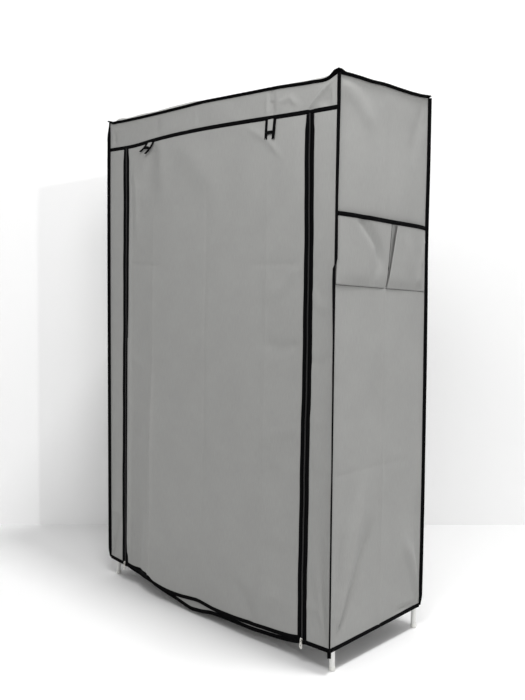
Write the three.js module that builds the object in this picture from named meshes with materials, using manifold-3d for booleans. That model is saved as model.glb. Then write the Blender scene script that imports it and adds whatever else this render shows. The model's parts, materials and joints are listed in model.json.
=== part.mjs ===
// Portable fabric wardrobe: a frame of thin tubes in moulded connectors, under a sewn cover
// with a front door between two zips. Millimetres, +Z up, front towards -Y, pockets on +X,
// origin on the floor, midway across the feet and midway between the back and the door's belly.

import * as THREE from 'three';
import { mergeVertices } from 'three/addons/utils/BufferGeometryUtils.js';
import Module from 'manifold-3d';

const wasm = await Module();
wasm.setup();

// Driving dimensions of the whole wardrobe
const overallWidth = 1030;
const overallDepth = 430;
const overallHeight = 1625;

// Cloth, bindings and the clearance that neighbours keep
const fabricThickness = 1;
const fitGap = 0.3;
const bindingHeight = 10;
const bindingThickness = 2.6;
const finWidth = 7.5;

// Frame
const tubeDiameter = 16;
const tubeWall = 0.8;
const connectorWall = 1.4;
const connectorReach = 45;
const socketFloor = 1.5;
const knobHeight = 6;
const footHeight = 12;
const footLip = 0.9;
const footRound = 2.4;
const lowerRingHeight = 105;
const hatSpace = 244;
const railDrop = 24;
const bracketLength = 22;
const shelfSag = 5;
const tubeSides = 12;

// Levels and edges of the cover
const hemHeight = 66;
const hemRise = 6;
const headerDepth = 94;
const headerDip = 8;
const zipInset = 101;
const cornerPeak = 14;
const topSag = 6;

// How far the loose front stands out at its hem
const cornerFlare = 13;
const zipFlare = 20;
const bellyDepth = 18;
const doorHemLift = 5;
const doorHemSag = 24;
const sillSag = 48;
const sillSetback = 6;
const sillHeight = 34;
const creaseDepth = 4;
const sideBelly = 5;

// Zip, slider and pull tab
const coilWidth = 5;
const coilHeight = 3;
const tapeThickness = 0.8;
const tapeReach = 8.5;
const tapeBinding = 8;
const tapeBindingHeight = 2.2;
const sliderLength = 12;
const sliderWidth = 9;
const sliderRoof = 1.2;
const sliderLift = 3;
const archWidth = 3;
const archThickness = 1;
const archSpan = 7;
const pinRadius = 0.8;
const pinPlay = 0.4;
const pullLength = 25;
const pullWidth = 10;
const pullThickness = 1.4;
const pullWindow = 5.5;
const pullNeck = 4;
const pullHole = 2;

// Tie straps
const tieWidth = 40;
const tieLength = 53;
const tieCloth = 1;
const tieEdge = 7;
const tieEdgeThickness = 1.8;
const tieInset = 144;
const tieBar = 7;
const tieLean = 1.5;
const swungTieSide = 37;
const swungTieFall = 25;
const swungTieTwist = 14;
const swungTieOut = 26;

// Side pocket
const pocketDrop = 370;
const pocketFall = 24;
const pocketDepth = 182;
const pocketPuff = 11;
const pocketSeam = 0.8;

// Sizes that follow from those above
const finReach = (finWidth + fitGap + bindingThickness / 2) / Math.SQRT2;
const clothX = overallWidth / 2 - finReach;
const clothY = overallDepth / 2 - finReach;
const clothZ = overallHeight - finReach - cornerPeak;
const skin = fabricThickness + fitGap;
const frontEndX = clothX - skin;
const tubeRadius = tubeDiameter / 2;
const socketRadius = tubeRadius + fitGap;
const connectorRadius = socketRadius + connectorWall;
const postX = clothX - skin - connectorRadius;
const postY = clothY - skin - connectorRadius;
const topRingHeight = clothZ - skin - connectorRadius;
const zipOffset = overallWidth / 2 - zipInset;
const tieOffset = zipOffset - tieInset;
const headerLevel = overallHeight - headerDepth;
const halfBinding = bindingHeight / 2;
const frontDrop = headerLevel - hemHeight;
const shelfRingHeight = topRingHeight - hatSpace;
const railLevel = shelfRingHeight - railDrop;
const pocketFront = overallHeight - pocketDrop;
const bellyReach = clothY + zipFlare + bellyDepth;

// Colours and finishes
const finish = (color, roughness, metalness = 0) =>
  new THREE.MeshStandardMaterial({ color, roughness, metalness });
const greyCloth = finish(0xa9a9a7, 0.95);
const blackTape = finish(0x17171a, 0.85);
const whiteTube = finish(0xf1f1ee, 0.4);
const whiteMoulding = finish(0xe6e6e2, 0.5);
const silverMetal = finish(0xb9bbbe, 0.3, 0.9);

// Everything below is drawn with the feet's middle at zero. The group stands it back, so that
// the belly reaches as far forward as the cover reaches back.
const wardrobe = new THREE.Group();
wardrobe.position.y = (bellyReach - overallDepth / 2) / 2;

function addMesh(name, geometry, material, parent = wardrobe) {
  const mesh = new THREE.Mesh(geometry, material);
  mesh.name = name;
  parent.add(mesh);
  return mesh;
}

// Height of a line through hand-chosen places, each [place share, height share]
function along(shares, place) {
  const after = shares.findIndex(([share]) => share >= place);
  if (after === 0) return shares[0][1];
  if (after < 0) return shares[shares.length - 1][1];
  const [share0, height0] = shares[after - 1];
  const [share1, height1] = shares[after];
  return height0 + ((height1 - height0) * (place - share0)) / (share1 - share0);
}

const between = (low, high, share) => low + (high - low) * share;
const spread = (count) => Array.from({ length: count + 1 }, (_, step) => step / count);

// A closed body turned to face outwards
function closedBody(positions, indices) {
  let volume = 0;
  const at = (index) => new THREE.Vector3().fromArray(positions, index * 3);
  for (let i = 0; i < indices.length; i += 3) {
    volume += at(indices[i]).dot(at(indices[i + 1]).cross(at(indices[i + 2])));
  }
  const faces = volume < 0 ? indices.slice().reverse() : indices;
  const geometry = new THREE.BufferGeometry();
  geometry.setAttribute('position', new THREE.Float32BufferAttribute(positions, 3));
  geometry.setIndex(faces);
  geometry.computeVertexNormals();
  return geometry;
}

// Cloth: a grid of points on its outer side, given again inwards, closed along the rim
function sheet(columns, rows, outer, inward) {
  const positions = [];
  const indices = [];
  const across = columns.length;
  const layer = across * rows.length;
  const point = (column, row, side) => side * layer + row * across + column;
  const quad = (a, b, c, d) => indices.push(a, b, c, a, c, d);
  for (const side of [0, 1]) {
    for (const row of rows) {
      for (const column of columns) {
        const place = outer(column, row);
        if (side) place.add(inward(column, row));
        positions.push(...place.toArray());
      }
    }
  }
  for (let r = 0; r + 1 < rows.length; r += 1) {
    for (let c = 0; c + 1 < across; c += 1) {
      quad(point(c, r, 0), point(c + 1, r, 0), point(c + 1, r + 1, 0), point(c, r + 1, 0));
      quad(point(c, r, 1), point(c, r + 1, 1), point(c + 1, r + 1, 1), point(c + 1, r, 1));
    }
  }
  const top = rows.length - 1;
  const end = across - 1;
  for (let c = 0; c < end; c += 1) {
    quad(point(c, 0, 0), point(c, 0, 1), point(c + 1, 0, 1), point(c + 1, 0, 0));
    quad(point(c, top, 0), point(c + 1, top, 0), point(c + 1, top, 1), point(c, top, 1));
  }
  for (let r = 0; r < top; r += 1) {
    quad(point(0, r, 0), point(0, r + 1, 0), point(0, r + 1, 1), point(0, r, 1));
    quad(point(end, r, 0), point(end, r, 1), point(end, r + 1, 1), point(end, r + 1, 0));
  }
  return closedBody(positions, indices);
}

// A section of [first, second] offsets carried along stations of {at, first, second}; a station
// may have a section of its own
function sweep(stations, section, ring = false) {
  const positions = [];
  const indices = [];
  const sides = section.length;
  for (const { at, first, second, section: own = section } of stations) {
    for (const [a, b] of own) {
      const place = at.clone().addScaledVector(first, a).addScaledVector(second, b);
      positions.push(...place.toArray());
    }
  }
  const spans = ring ? stations.length : stations.length - 1;
  for (let s = 0; s < spans; s += 1) {
    const here = s * sides;
    const next = ((s + 1) % stations.length) * sides;
    for (let k = 0; k < sides; k += 1) {
      const beside = (k + 1) % sides;
      indices.push(here + k, next + k, next + beside, here + k, next + beside, here + beside);
    }
  }
  if (!ring) {
    const outline = section.map(([a, b]) => new THREE.Vector2(a, b));
    const last = (stations.length - 1) * sides;
    for (const [a, b, c] of THREE.ShapeUtils.triangulateShape(outline, [])) {
      indices.push(a, b, c, last + a, last + c, last + b);
    }
  }
  return closedBody(positions, indices);
}

const up = new THREE.Vector3(0, 0, 1);
const outFront = new THREE.Vector3(0, -1, 0);
const outBack = new THREE.Vector3(0, 1, 0);
const outRight = new THREE.Vector3(1, 0, 0);
const outLeft = new THREE.Vector3(-1, 0, 0);
const rectangle = (a0, a1, b0, b1) => [[a0, b0], [a1, b0], [a1, b1], [a0, b1]];

// Solids that are cut or joined
function toSolid(geometry) {
  const bare = geometry.clone();
  bare.deleteAttribute('normal');
  bare.deleteAttribute('uv');
  const merged = mergeVertices(bare);
  return new wasm.Manifold(new wasm.Mesh({
    numProp: 3,
    vertProperties: Float32Array.from(merged.attributes.position.array),
    triVerts: Uint32Array.from(merged.index.array),
  }));
}

function toGeometry(solid) {
  const { vertProperties, triVerts } = solid.getMesh();
  const geometry = new THREE.BufferGeometry();
  geometry.setAttribute('position', new THREE.BufferAttribute(vertProperties, 3));
  geometry.setIndex(new THREE.BufferAttribute(triVerts, 1));
  geometry.computeVertexNormals();
  return geometry;
}

// A round bar from one height to another, along +Z, or turned to lie along +X or +Y
const uprights = {
  x: new THREE.Matrix4().makeRotationY(Math.PI / 2),
  y: new THREE.Matrix4().makeRotationX(-Math.PI / 2),
};

function roundBar(radius, from, to, axis = 'z') {
  const bar = new THREE.CylinderGeometry(radius, radius, to - from, tubeSides);
  bar.rotateX(Math.PI / 2);
  bar.translate(0, 0, (from + to) / 2);
  return axis === 'z' ? bar : bar.applyMatrix4(uprights[axis]);
}

// Frame: upright posts with a moulded foot plug

function postGeometry(top) {
  const footRadius = tubeRadius + footLip;
  const plugTop = footHeight + footRound;
  const points = [
    [0, 0],
    [footRadius - footRound, 0],
    [footRadius - footRound * (1 - Math.SQRT1_2), footRound * (1 - Math.SQRT1_2)],
    [footRadius, footRound],
    [footRadius, footHeight],
    [tubeRadius, footHeight],
    [tubeRadius, top],
    [tubeRadius - tubeWall, top],
    [tubeRadius - tubeWall, plugTop],
    [0, plugTop],
  ].map(([radius, height]) => new THREE.Vector2(radius, height));
  const post = new THREE.LatheGeometry(points, tubeSides);
  post.rotateX(Math.PI / 2);
  return post;
}

function tubeGeometry(length) {
  const bore = tubeRadius - tubeWall;
  const corners = [[bore, 0], [tubeRadius, 0], [tubeRadius, length], [bore, length], [bore, 0]];
  const points = corners.map(([radius, height]) => new THREE.Vector2(radius, height));
  const tube = new THREE.LatheGeometry(points, tubeSides);
  tube.rotateX(Math.PI / 2);
  return tube;
}

// Frame: connectors. Arms point along +X and +Y from the post's axis at the origin.

const boreStart = connectorRadius + socketFloor;

function connectorGeometry(reachUp, reachDown, capped) {
  let solid = toSolid(roundBar(connectorRadius, -reachDown, reachUp));
  for (const axis of ['x', 'y']) {
    solid = solid.add(toSolid(roundBar(connectorRadius, 0, connectorReach, axis)));
  }
  const boreTop = capped ? tubeRadius : reachUp + connectorRadius;
  if (capped) {
    const knobRise = knobHeight + connectorWall;
    const knob = new THREE.CylinderGeometry(tubeRadius / 2, tubeRadius, knobRise, tubeSides);
    knob.rotateX(Math.PI / 2);
    knob.translate(0, 0, reachUp + (knobHeight - connectorWall) / 2);
    solid = solid.add(toSolid(knob));
  }
  solid = solid.subtract(toSolid(roundBar(socketRadius, -reachDown - connectorRadius, boreTop)));
  for (const axis of ['x', 'y']) {
    const bore = roundBar(socketRadius, boreStart, connectorReach + connectorRadius, axis);
    solid = solid.subtract(toSolid(bore));
  }
  return toGeometry(solid);
}

// A body mirrored through a plane has its faces turned back outwards
function flipped(geometry, signX, signY) {
  const copy = geometry.clone().scale(signX, signY, 1);
  if (signX * signY > 0) return copy;
  const index = copy.index.array;
  for (let i = 0; i < index.length; i += 3) {
    [index[i + 1], index[i + 2]] = [index[i + 2], index[i + 1]];
  }
  copy.computeVertexNormals();
  return copy;
}

const corners = [
  ['front_left', -1, -1],
  ['front_right', 1, -1],
  ['back_left', -1, 1],
  ['back_right', 1, 1],
];
const postTop = topRingHeight + tubeRadius - fitGap;
const cappedConnector = connectorGeometry(connectorRadius, connectorReach, true);
const sleeveConnector = connectorGeometry(connectorReach / 2, connectorReach / 2, false);
const levels = [
  ['lower', lowerRingHeight, sleeveConnector],
  ['shelf', shelfRingHeight, sleeveConnector],
  ['top', topRingHeight, cappedConnector],
];

for (const [corner, signX, signY] of corners) {
  addMesh(`post_${corner}`, postGeometry(postTop), whiteTube).position.set(signX * postX, signY * postY, 0);
  for (const [level, height, geometry] of levels) {
    const turned = flipped(geometry, -signX, -signY);
    const connector = addMesh(`${level}_connector_${corner}`, turned, whiteMoulding);
    connector.position.set(signX * postX, signY * postY, height);
  }
}

// Frame: level tubes, seated in the connectors' sockets
const seat = boreStart + fitGap;
const longTube = tubeGeometry(2 * (postX - seat)).applyMatrix4(uprights.x);
const shortTube = tubeGeometry(2 * (postY - seat)).applyMatrix4(uprights.y);

for (const [level, height] of levels) {
  for (const [side, sign] of [['front', -1], ['back', 1]]) {
    addMesh(`${level}_tube_${side}`, longTube, whiteTube).position.set(seat - postX, sign * postY, height);
  }
  for (const [side, sign] of [['left', -1], ['right', 1]]) {
    addMesh(`${level}_tube_${side}`, shortTube, whiteTube).position.set(sign * postX, seat - postY, height);
  }
}

// Frame: hanging rail and the brackets that ride on the shelf ring's side tubes

function bracketGeometry() {
  const half = bracketLength / 2;
  const ringWall = toSolid(roundBar(connectorRadius, -half, half, 'y'));
  const ringBore = toSolid(roundBar(socketRadius, -bracketLength, bracketLength, 'y'));
  const neck = new THREE.BoxGeometry(tubeDiameter, tubeRadius, railDrop);
  neck.translate(0, 0, -railDrop / 2);
  const cup = roundBar(connectorRadius, -tubeRadius, bracketLength, 'x').translate(0, 0, -railDrop);
  const cupBore = roundBar(socketRadius, -tubeRadius + socketFloor, 2 * bracketLength, 'x');
  cupBore.translate(0, 0, -railDrop);
  const body = ringWall.add(toSolid(neck)).add(toSolid(cup));
  return toGeometry(body.subtract(ringBore).subtract(toSolid(cupBore)));
}

const bracket = bracketGeometry();
const railStart = -postX - tubeRadius + socketFloor + fitGap;
for (const [side, sign] of [['left', -1], ['right', 1]]) {
  const turned = addMesh(`rail_bracket_${side}`, flipped(bracket, -sign, 1), whiteMoulding);
  turned.position.set(sign * postX, 0, shelfRingHeight);
}
const rail = addMesh('hanging_rail', tubeGeometry(-2 * railStart).applyMatrix4(uprights.x), whiteTube);
rail.position.set(railStart, 0, railLevel);

// Fabric shelves: cloth sewn into a sleeve round the front and the back tube

function shelfGeometry() {
  const sleeveOuter = socketRadius + fabricThickness;
  const half = postX - connectorReach - fitGap;
  const sagAt = (share) => -shelfSag * Math.sin(Math.PI * share);
  const endAt = (x) => ({ at: new THREE.Vector3(x, 0, 0), first: outBack, second: up });
  const cloth = [];
  for (const share of spread(8)) {
    cloth.push([share, between(tubeRadius / 4 - postY, postY - tubeRadius / 4, share)]);
  }
  const outline = [
    ...cloth.map(([share, y]) => [y, socketRadius + sagAt(share)]),
    ...cloth.reverse().map(([share, y]) => [y, sleeveOuter + sagAt(share)]),
  ];
  let solid = toSolid(sweep([endAt(-half), endAt(half)], outline));
  for (const sign of [-1, 1]) {
    const sleeve = roundBar(sleeveOuter, -half, half, 'x').translate(0, sign * postY, 0);
    const bore = roundBar(socketRadius, -postX, postX, 'x').translate(0, sign * postY, 0);
    solid = solid.add(toSolid(sleeve).subtract(toSolid(bore)));
  }
  return toGeometry(solid);
}

for (const [name, height] of [['bottom_shelf', lowerRingHeight], ['hat_shelf', shelfRingHeight]]) {
  addMesh(name, shelfGeometry(), greyCloth).position.set(0, 0, height);
}

// Cover: the top edge, as [place share, share of the corner peak]
const frontTopShares = [
  [-1, 1], [-0.97, 0.62], [-0.9, 0.48], [-0.75, 0.43], [-0.43, 0.54], [-0.2, 0.7], [-0.05, 0.84],
  [0.15, 0.74], [0.38, 0.6], [0.6, 0.46], [0.82, 0.11], [0.945, 0.2], [1, 1],
];
const sideTopShares = [
  [-1, 1], [-0.93, 0.97], [-0.76, 1], [-0.55, 0.93], [-0.34, 0.8], [-0.04, 0.84],
  [0.33, 0.6], [0.69, 0.45], [0.93, 0.54], [1, 0.64],
];
const backTopShares = [
  [-1, 0.64], [-0.9, 0.5], [-0.5, 0.3], [0, 0.4], [0.5, 0.3], [0.9, 0.5], [1, 0.64],
];
const topColumnShares = frontTopShares.map(([share]) => share);
const sideColumnShares = sideTopShares.map(([share]) => share);

// The edges' waves die out towards the middle of the top, which sags a little
const fade = (share) => (1 - share) ** 3;

function topHeight(x, y) {
  const u = (x / clothX + 1) / 2;
  const v = (y / clothY + 1) / 2;
  const frontCorner = frontTopShares[0][1];
  const backCorner = backTopShares[0][1];
  const ends = fade(u) + fade(1 - u);
  const front = fade(v) * (along(frontTopShares, x / clothX) - ends * frontCorner);
  const back = fade(1 - v) * (along(backTopShares, x / clothX) - ends * backCorner);
  const lift = front + back + ends * along(sideTopShares, y / clothY);
  return clothZ + cornerPeak * lift - topSag * Math.sin(Math.PI * u) * Math.sin(Math.PI * v);
}

// Cover: the header line, which drops a little at the left of the door
const headerShares = [[-1, 1], [-0.73, 1], [-0.505, 0], [1, 0]];
const headerHeight = (x) => headerLevel - headerDip * along(headerShares, x / clothX);

// Cover: the loose front. It hangs flat at the header and stands out at the hem, most of all
// at the left of the door's middle. Tables hold [place share, depth or height share].
const zipInner = zipOffset - coilWidth / 2 - fitGap;
const bandInner = zipOffset - tapeReach - tapeBinding;
const stripInner = zipOffset + tapeReach + tapeBinding + fitGap;
const bellyShares = [
  [-1, 0], [-0.86, 0.12], [-0.72, 0.75], [-0.58, 1], [-0.32, 0.9], [-0.06, 0.64], [0.18, 0.62],
  [0.4, 0.6], [0.6, 0.42], [0.8, 0.18], [1, 0],
];
const creaseShares = [
  [-0.75, 0], [-0.646, 1], [-0.5, 0], [-0.15, 0], [0, 0.7], [0.15, 0], [0.5, 0], [0.646, 0.8], [0.8, 0],
];
const doorHemShares = [
  [-1, 0.1], [-0.935, 0.18], [-0.85, 0.18], [-0.75, 0.06], [-0.646, 0], [-0.6, 0.5], [-0.55, 0.72],
  [-0.48, 0.9], [-0.4, 1], [-0.26, 0.98], [-0.12, 0.76], [0, 0.66], [0.13, 0.86], [0.3, 0.82], [0.5, 0.67],
  [0.646, 0.56], [0.85, 0.36], [0.94, 0.2], [1, 0],
];
const doorFoldShares = doorHemShares.slice(1, -1).map(([share]) => share);
const sillShares = [
  [-1, 0], [-0.96, 0.08], [-0.82, 0.26], [-0.62, 0.28], [-0.54, 0.39], [-0.39, 0.6], [-0.255, 0.79],
  [-0.124, 1], [-0.06, 0.96], [0.007, 0.88], [0.08, 0.74], [0.18, 0.65], [0.385, 0.59], [0.5, 0.58],
  [0.61, 0.52], [0.74, 0.44], [0.9, 0.24], [0.96, 0.1], [1, 0],
];
const dropAt = (z) => Math.min(1, Math.max(0, (headerLevel - z) / frontDrop));
const cornerY = (z) => -clothY - cornerFlare * dropAt(z) ** 0.7;
const zipY = (z) => -clothY - zipFlare * dropAt(z);

function frontY(x, z) {
  if (Math.abs(x) <= bandInner) {
    const drop = dropAt(z);
    const belly = bellyDepth * drop * along(bellyShares, x / bandInner);
    const crease = creaseDepth * Math.sin(Math.PI * drop) * along(creaseShares, x / bandInner);
    return zipY(z) - belly + crease;
  }
  const share = (Math.abs(x) - stripInner) / (clothX - stripInner);
  return between(zipY(z), cornerY(z), Math.max(0, share));
}

const doorHemHeight = (x) => hemHeight + doorHemLift - doorHemSag * along(doorHemShares, x / bandInner);
const headerEdge = (x) => headerHeight(x) - halfBinding - fitGap;
const aboveHem = halfBinding + fitGap;
const sideHemHeight = (y) => hemHeight + hemRise * (y / clothY + 1) / 2;

// Between the zips the hem tape sags below the door and runs just behind it
function hemPoint(x) {
  const inside = Math.min(1, Math.max(0, (stripInner - Math.abs(x)) / (stripInner - zipOffset)));
  const sag = inside ? along(sillShares, x / stripInner) : 0;
  return new THREE.Vector3(x, frontY(x, hemHeight) + sillSetback * inside, hemHeight - sillSag * sag);
}

// Sheets of the cover

const intoFront = () => new THREE.Vector3(0, fabricThickness, 0);

addMesh('top_panel', sheet(
  topColumnShares,
  sideColumnShares,
  (u, v) => new THREE.Vector3(u * clothX, v * clothY, topHeight(u * clothX, v * clothY)),
  () => new THREE.Vector3(0, 0, -fabricThickness),
), greyCloth);

// A panel's last column stops short of the side panel
const clipped = (share) => Math.max(-frontEndX, Math.min(frontEndX, share * clothX));
const underTop = (x, y) => topHeight(x, y) - fabricThickness - 2 * fitGap;
const headerColumnShares = [...new Set([...topColumnShares, -0.73, -0.505])].sort((a, b) => a - b);

function topUnderAt(shares, x, y) {
  const heights = shares.map((share) => [share, topHeight(share * clothX, y)]);
  return along(heights, x / clothX) - fabricThickness - 2 * fitGap;
}

addMesh('front_header', sheet(
  headerColumnShares,
  spread(3),
  (u, v) => {
    const x = clipped(u);
    const low = headerHeight(x) + aboveHem;
    return new THREE.Vector3(x, -clothY, between(low, topUnderAt(topColumnShares, x, -clothY), v));
  },
  intoFront,
), greyCloth);

addMesh('back_panel', sheet(
  topColumnShares,
  spread(8),
  (u, v) => {
    const x = clipped(u);
    const low = hemHeight + hemRise + aboveHem;
    return new THREE.Vector3(x, clothY, between(low, topUnderAt(topColumnShares, x, clothY), v));
  },
  () => new THREE.Vector3(0, -fabricThickness, 0),
), greyCloth);

// Side panels: their front edge follows the flare of the corner, and each swells a little
const sideBellyShares = [
  [-1, 0], [-0.93, 0.3], [-0.76, 0.55], [-0.55, 0.85], [-0.34, 1], [-0.04, 0.7], [0.33, 1],
  [0.69, 0.7], [0.93, 0.3], [1, 0],
];
const sideRows = 16;

function sidePoint(column, row) {
  const backY = column * clothY;
  const low = sideHemHeight(backY) + aboveHem;
  const z = between(low, underTop(clothX, backY), row);
  const y = between(cornerY(z), clothY, (column + 1) / 2);
  const swell = sideBelly * Math.sin(Math.PI * row) * along(sideBellyShares, column);
  return new THREE.Vector3(clothX + swell, y, z);
}

for (const [side, sign] of [['left', -1], ['right', 1]]) {
  addMesh(`${side}_side_panel`, sheet(
    sideColumnShares,
    spread(sideRows),
    (u, v) => {
      const place = sidePoint(u, v);
      place.x *= sign;
      return place;
    },
    () => new THREE.Vector3(-sign * fabricThickness, 0, 0),
  ), greyCloth);

  addMesh(`front_${side}_strip`, sheet(
    spread(3),
    spread(20),
    (u, v) => {
      const x = sign * between(stripInner, frontEndX, u);
      const z = between(hemHeight + aboveHem, headerEdge(x), v);
      return new THREE.Vector3(x, frontY(x, z), z);
    },
    intoFront,
  ), greyCloth);
}

// The door, with its half of each zip's tape as a raised band along either edge
const bandSlope = tapeThickness / 2;
const bandOuter = zipOffset - tapeReach;
const bandColumns = [zipInner, bandOuter, bandOuter - bandSlope, bandInner + bandSlope, bandInner];
const doorColumns = [
  ...bandColumns.map((x) => -x),
  ...doorFoldShares.map((share) => share * bandInner),
  ...bandColumns.slice().reverse(),
];
const raisedColumns = bandColumns.slice(2, -1);
const bandRise = (x) => (raisedColumns.includes(Math.abs(x)) ? tapeBindingHeight - fabricThickness : 0);
addMesh('door_panel', sheet(
  doorColumns,
  spread(24),
  (x, v) => {
    const z = between(doorHemHeight(x) + aboveHem, headerEdge(x), v);
    return new THREE.Vector3(x, frontY(x, z) - bandRise(x), z);
  },
  (x) => new THREE.Vector3(0, fabricThickness + bandRise(x), 0),
), greyCloth);

// The sill: a narrow lens of cloth on the hem tape, behind the door's hem
const sillLensShares = [
  [-0.82, 0], [-0.62, 0.12], [-0.54, 0.3], [-0.39, 0.7], [-0.255, 0.95], [-0.124, 1], [0.08, 0.8],
  [0.385, 0.7], [0.61, 0.6], [0.74, 0.4], [0.9, 0],
];
addMesh('front_sill_strip', sheet(
  sillShares.slice(2, -2).map(([share]) => share),
  [0, 1],
  (u, v) => {
    const place = hemPoint(u * stripInner);
    place.z += aboveHem + v * (fabricThickness + sillHeight * along(sillLensShares, u));
    return place;
  },
  intoFront,
), greyCloth);

// Bindings. Tapes lie in the cloth's plane; fins stand out from the cover's corners.

const tapeInner = -(fabricThickness + bindingThickness) / 2;
const tapeSection = rectangle(tapeInner, tapeInner + bindingThickness, -halfBinding, halfBinding);
const diagonal = (first, second) => [(first + second) / Math.SQRT2, (first - second) / Math.SQRT2];
const finHalf = bindingThickness / 2;
const finSection = rectangle(fitGap, fitGap + finWidth, -finHalf, finHalf);

// Once round the cover, anticlockwise from above, starting at the front left corner
function ringStations(frontShares, sideShares, point) {
  const corner = (x, y) => ({ at: point(x, y), first: new THREE.Vector3(x, y, 0), second: up });
  const edge = (x, y, first) => ({ at: point(x, y), first, second: up });
  const backwards = frontShares.slice().reverse();
  return [
    corner(-1, -1),
    ...frontShares.map((share) => edge(share, -1, outFront)),
    corner(1, -1),
    ...sideShares.map((share) => edge(1, share, outRight)),
    corner(1, 1),
    ...backwards.map((share) => edge(share, 1, outBack)),
    corner(-1, 1),
    ...sideShares.slice().reverse().map((share) => edge(-1, share, outLeft)),
  ];
}

const topStations = ringStations(
  topColumnShares.slice(1, -1),
  sideColumnShares.slice(1, -1),
  (u, v) => new THREE.Vector3(u * clothX, v * clothY, topHeight(u * clothX, v * clothY)),
);
const leaningFin = finSection.map(([a, b]) => diagonal(a, b));
addMesh('top_binding', sweep(topStations, leaningFin, true), blackTape);

const hemShares = sillShares.map(([share]) => (share * stripInner) / clothX);
const hemStations = ringStations(hemShares, [0], (u, v) => {
  if (v === -1) {
    return hemPoint(u * clothX);
  }
  return new THREE.Vector3(u * clothX, v * clothY, sideHemHeight(v * clothY));
});
addMesh('hem_binding', sweep(hemStations, tapeSection, true), blackTape);

for (const [corner, signX, signY] of corners) {
  const away = new THREE.Vector3(signX, signY, 0).divideScalar(Math.SQRT2);
  const beside = new THREE.Vector3(-signY, signX, 0).divideScalar(Math.SQRT2);
  const stations = spread(sideRows).map((row) => {
    const at = sidePoint(signY, row);
    at.x = signX * clothX;
    if (row === 1) at.z -= finHalf;
    return { at, first: away, second: beside };
  });
  addMesh(`${corner}_binding`, sweep(stations, finSection), blackTape);
}

const headerStations = headerColumnShares.map((share) => {
  const x = clipped(share);
  return { at: new THREE.Vector3(x, -clothY, headerHeight(x)), first: outFront, second: up };
});
addMesh('header_binding', sweep(headerStations, tapeSection), blackTape);

const doorHemPlaces = [
  -zipInner,
  ...doorHemShares.map(([share]) => share * bandInner),
  zipInner,
];
const doorHemStations = doorHemPlaces.map((x) => {
  const z = doorHemHeight(x);
  return { at: new THREE.Vector3(x, frontY(x, z), z), first: outFront, second: up };
});
addMesh('door_hem_binding', sweep(doorHemStations, tapeSection), blackTape);

// Zips: the fixed half of each tape carries the closed coil

const tapeFront = tapeThickness - fabricThickness;
const coilFront = coilHeight - fabricThickness;
const bandFront = tapeBindingHeight - fabricThickness;
const coilHalf = coilWidth / 2;
const zipSection = [
  [tapeReach + tapeBinding, -fabricThickness],
  [tapeReach + tapeBinding, bandFront],
  [tapeReach, bandFront],
  [tapeReach, tapeFront],
  [coilHalf, tapeFront],
  [coilHalf, coilFront - coilHalf / 2],
  [coilHalf / 2, coilFront],
  [-coilHalf / 2, coilFront],
  [-coilHalf, coilFront - coilHalf / 2],
  [-coilHalf, -fabricThickness],
];
const zipBottom = hemHeight + aboveHem;
const zipTilt = Math.atan2(zipFlare, frontDrop);

// Slider: a shoe over the coil, with an arch for the pull's pin. Outwards is -Y here.
const roofInner = coilFront + fitGap;
const roofOuter = roofInner + sliderRoof;
const shoeInner = tapeInner + bindingThickness + fitGap;
const archInside = 2 * (pinRadius + pinPlay);
const pinDepth = roofOuter + pinRadius + pinPlay;

// Outline points in [x, z], carried along -Y from one depth to another
function plate(shape, from, to) {
  const straight = { depth: to - from, bevelEnabled: false, curveSegments: 5 };
  const body = new THREE.ExtrudeGeometry(shape, straight);
  return body.rotateX(Math.PI / 2).translate(0, -from, 0);
}

function sliderGeometry() {
  const half = sliderWidth / 2;
  const end = sliderLength / 2;
  const waist = half - archThickness;
  const outline = new THREE.Shape();
  outline.moveTo(-waist, -end);
  outline.lineTo(waist, -end);
  outline.quadraticCurveTo(waist, 0, half, end / 2);
  outline.lineTo(waist, end);
  outline.lineTo(-waist, end);
  outline.lineTo(-half, end / 2);
  outline.quadraticCurveTo(-waist, 0, -waist, -end);
  const channel = new THREE.BoxGeometry(coilWidth + 2 * fitGap, 2 * roofInner, 2 * sliderLength);
  const arch = new THREE.Shape();
  const rootDepth = archThickness / 2;
  const crown = archInside + rootDepth;
  arch.absellipse(0, 0, archSpan / 2, crown + archThickness, 0, Math.PI, false);
  arch.absellipse(0, 0, archSpan / 2 - archThickness, crown, Math.PI, 0, true);
  const straight = { depth: archWidth, bevelEnabled: false, curveSegments: 6 };
  const strap = new THREE.ExtrudeGeometry(arch, straight);
  strap.translate(0, 0, -archWidth / 2).rotateY(Math.PI / 2).rotateZ(Math.PI);
  strap.translate(0, rootDepth - roofOuter, 0);
  const body = toSolid(plate(outline, shoeInner, roofOuter)).subtract(toSolid(channel));
  return toGeometry(body.add(toSolid(strap)));
}

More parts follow.
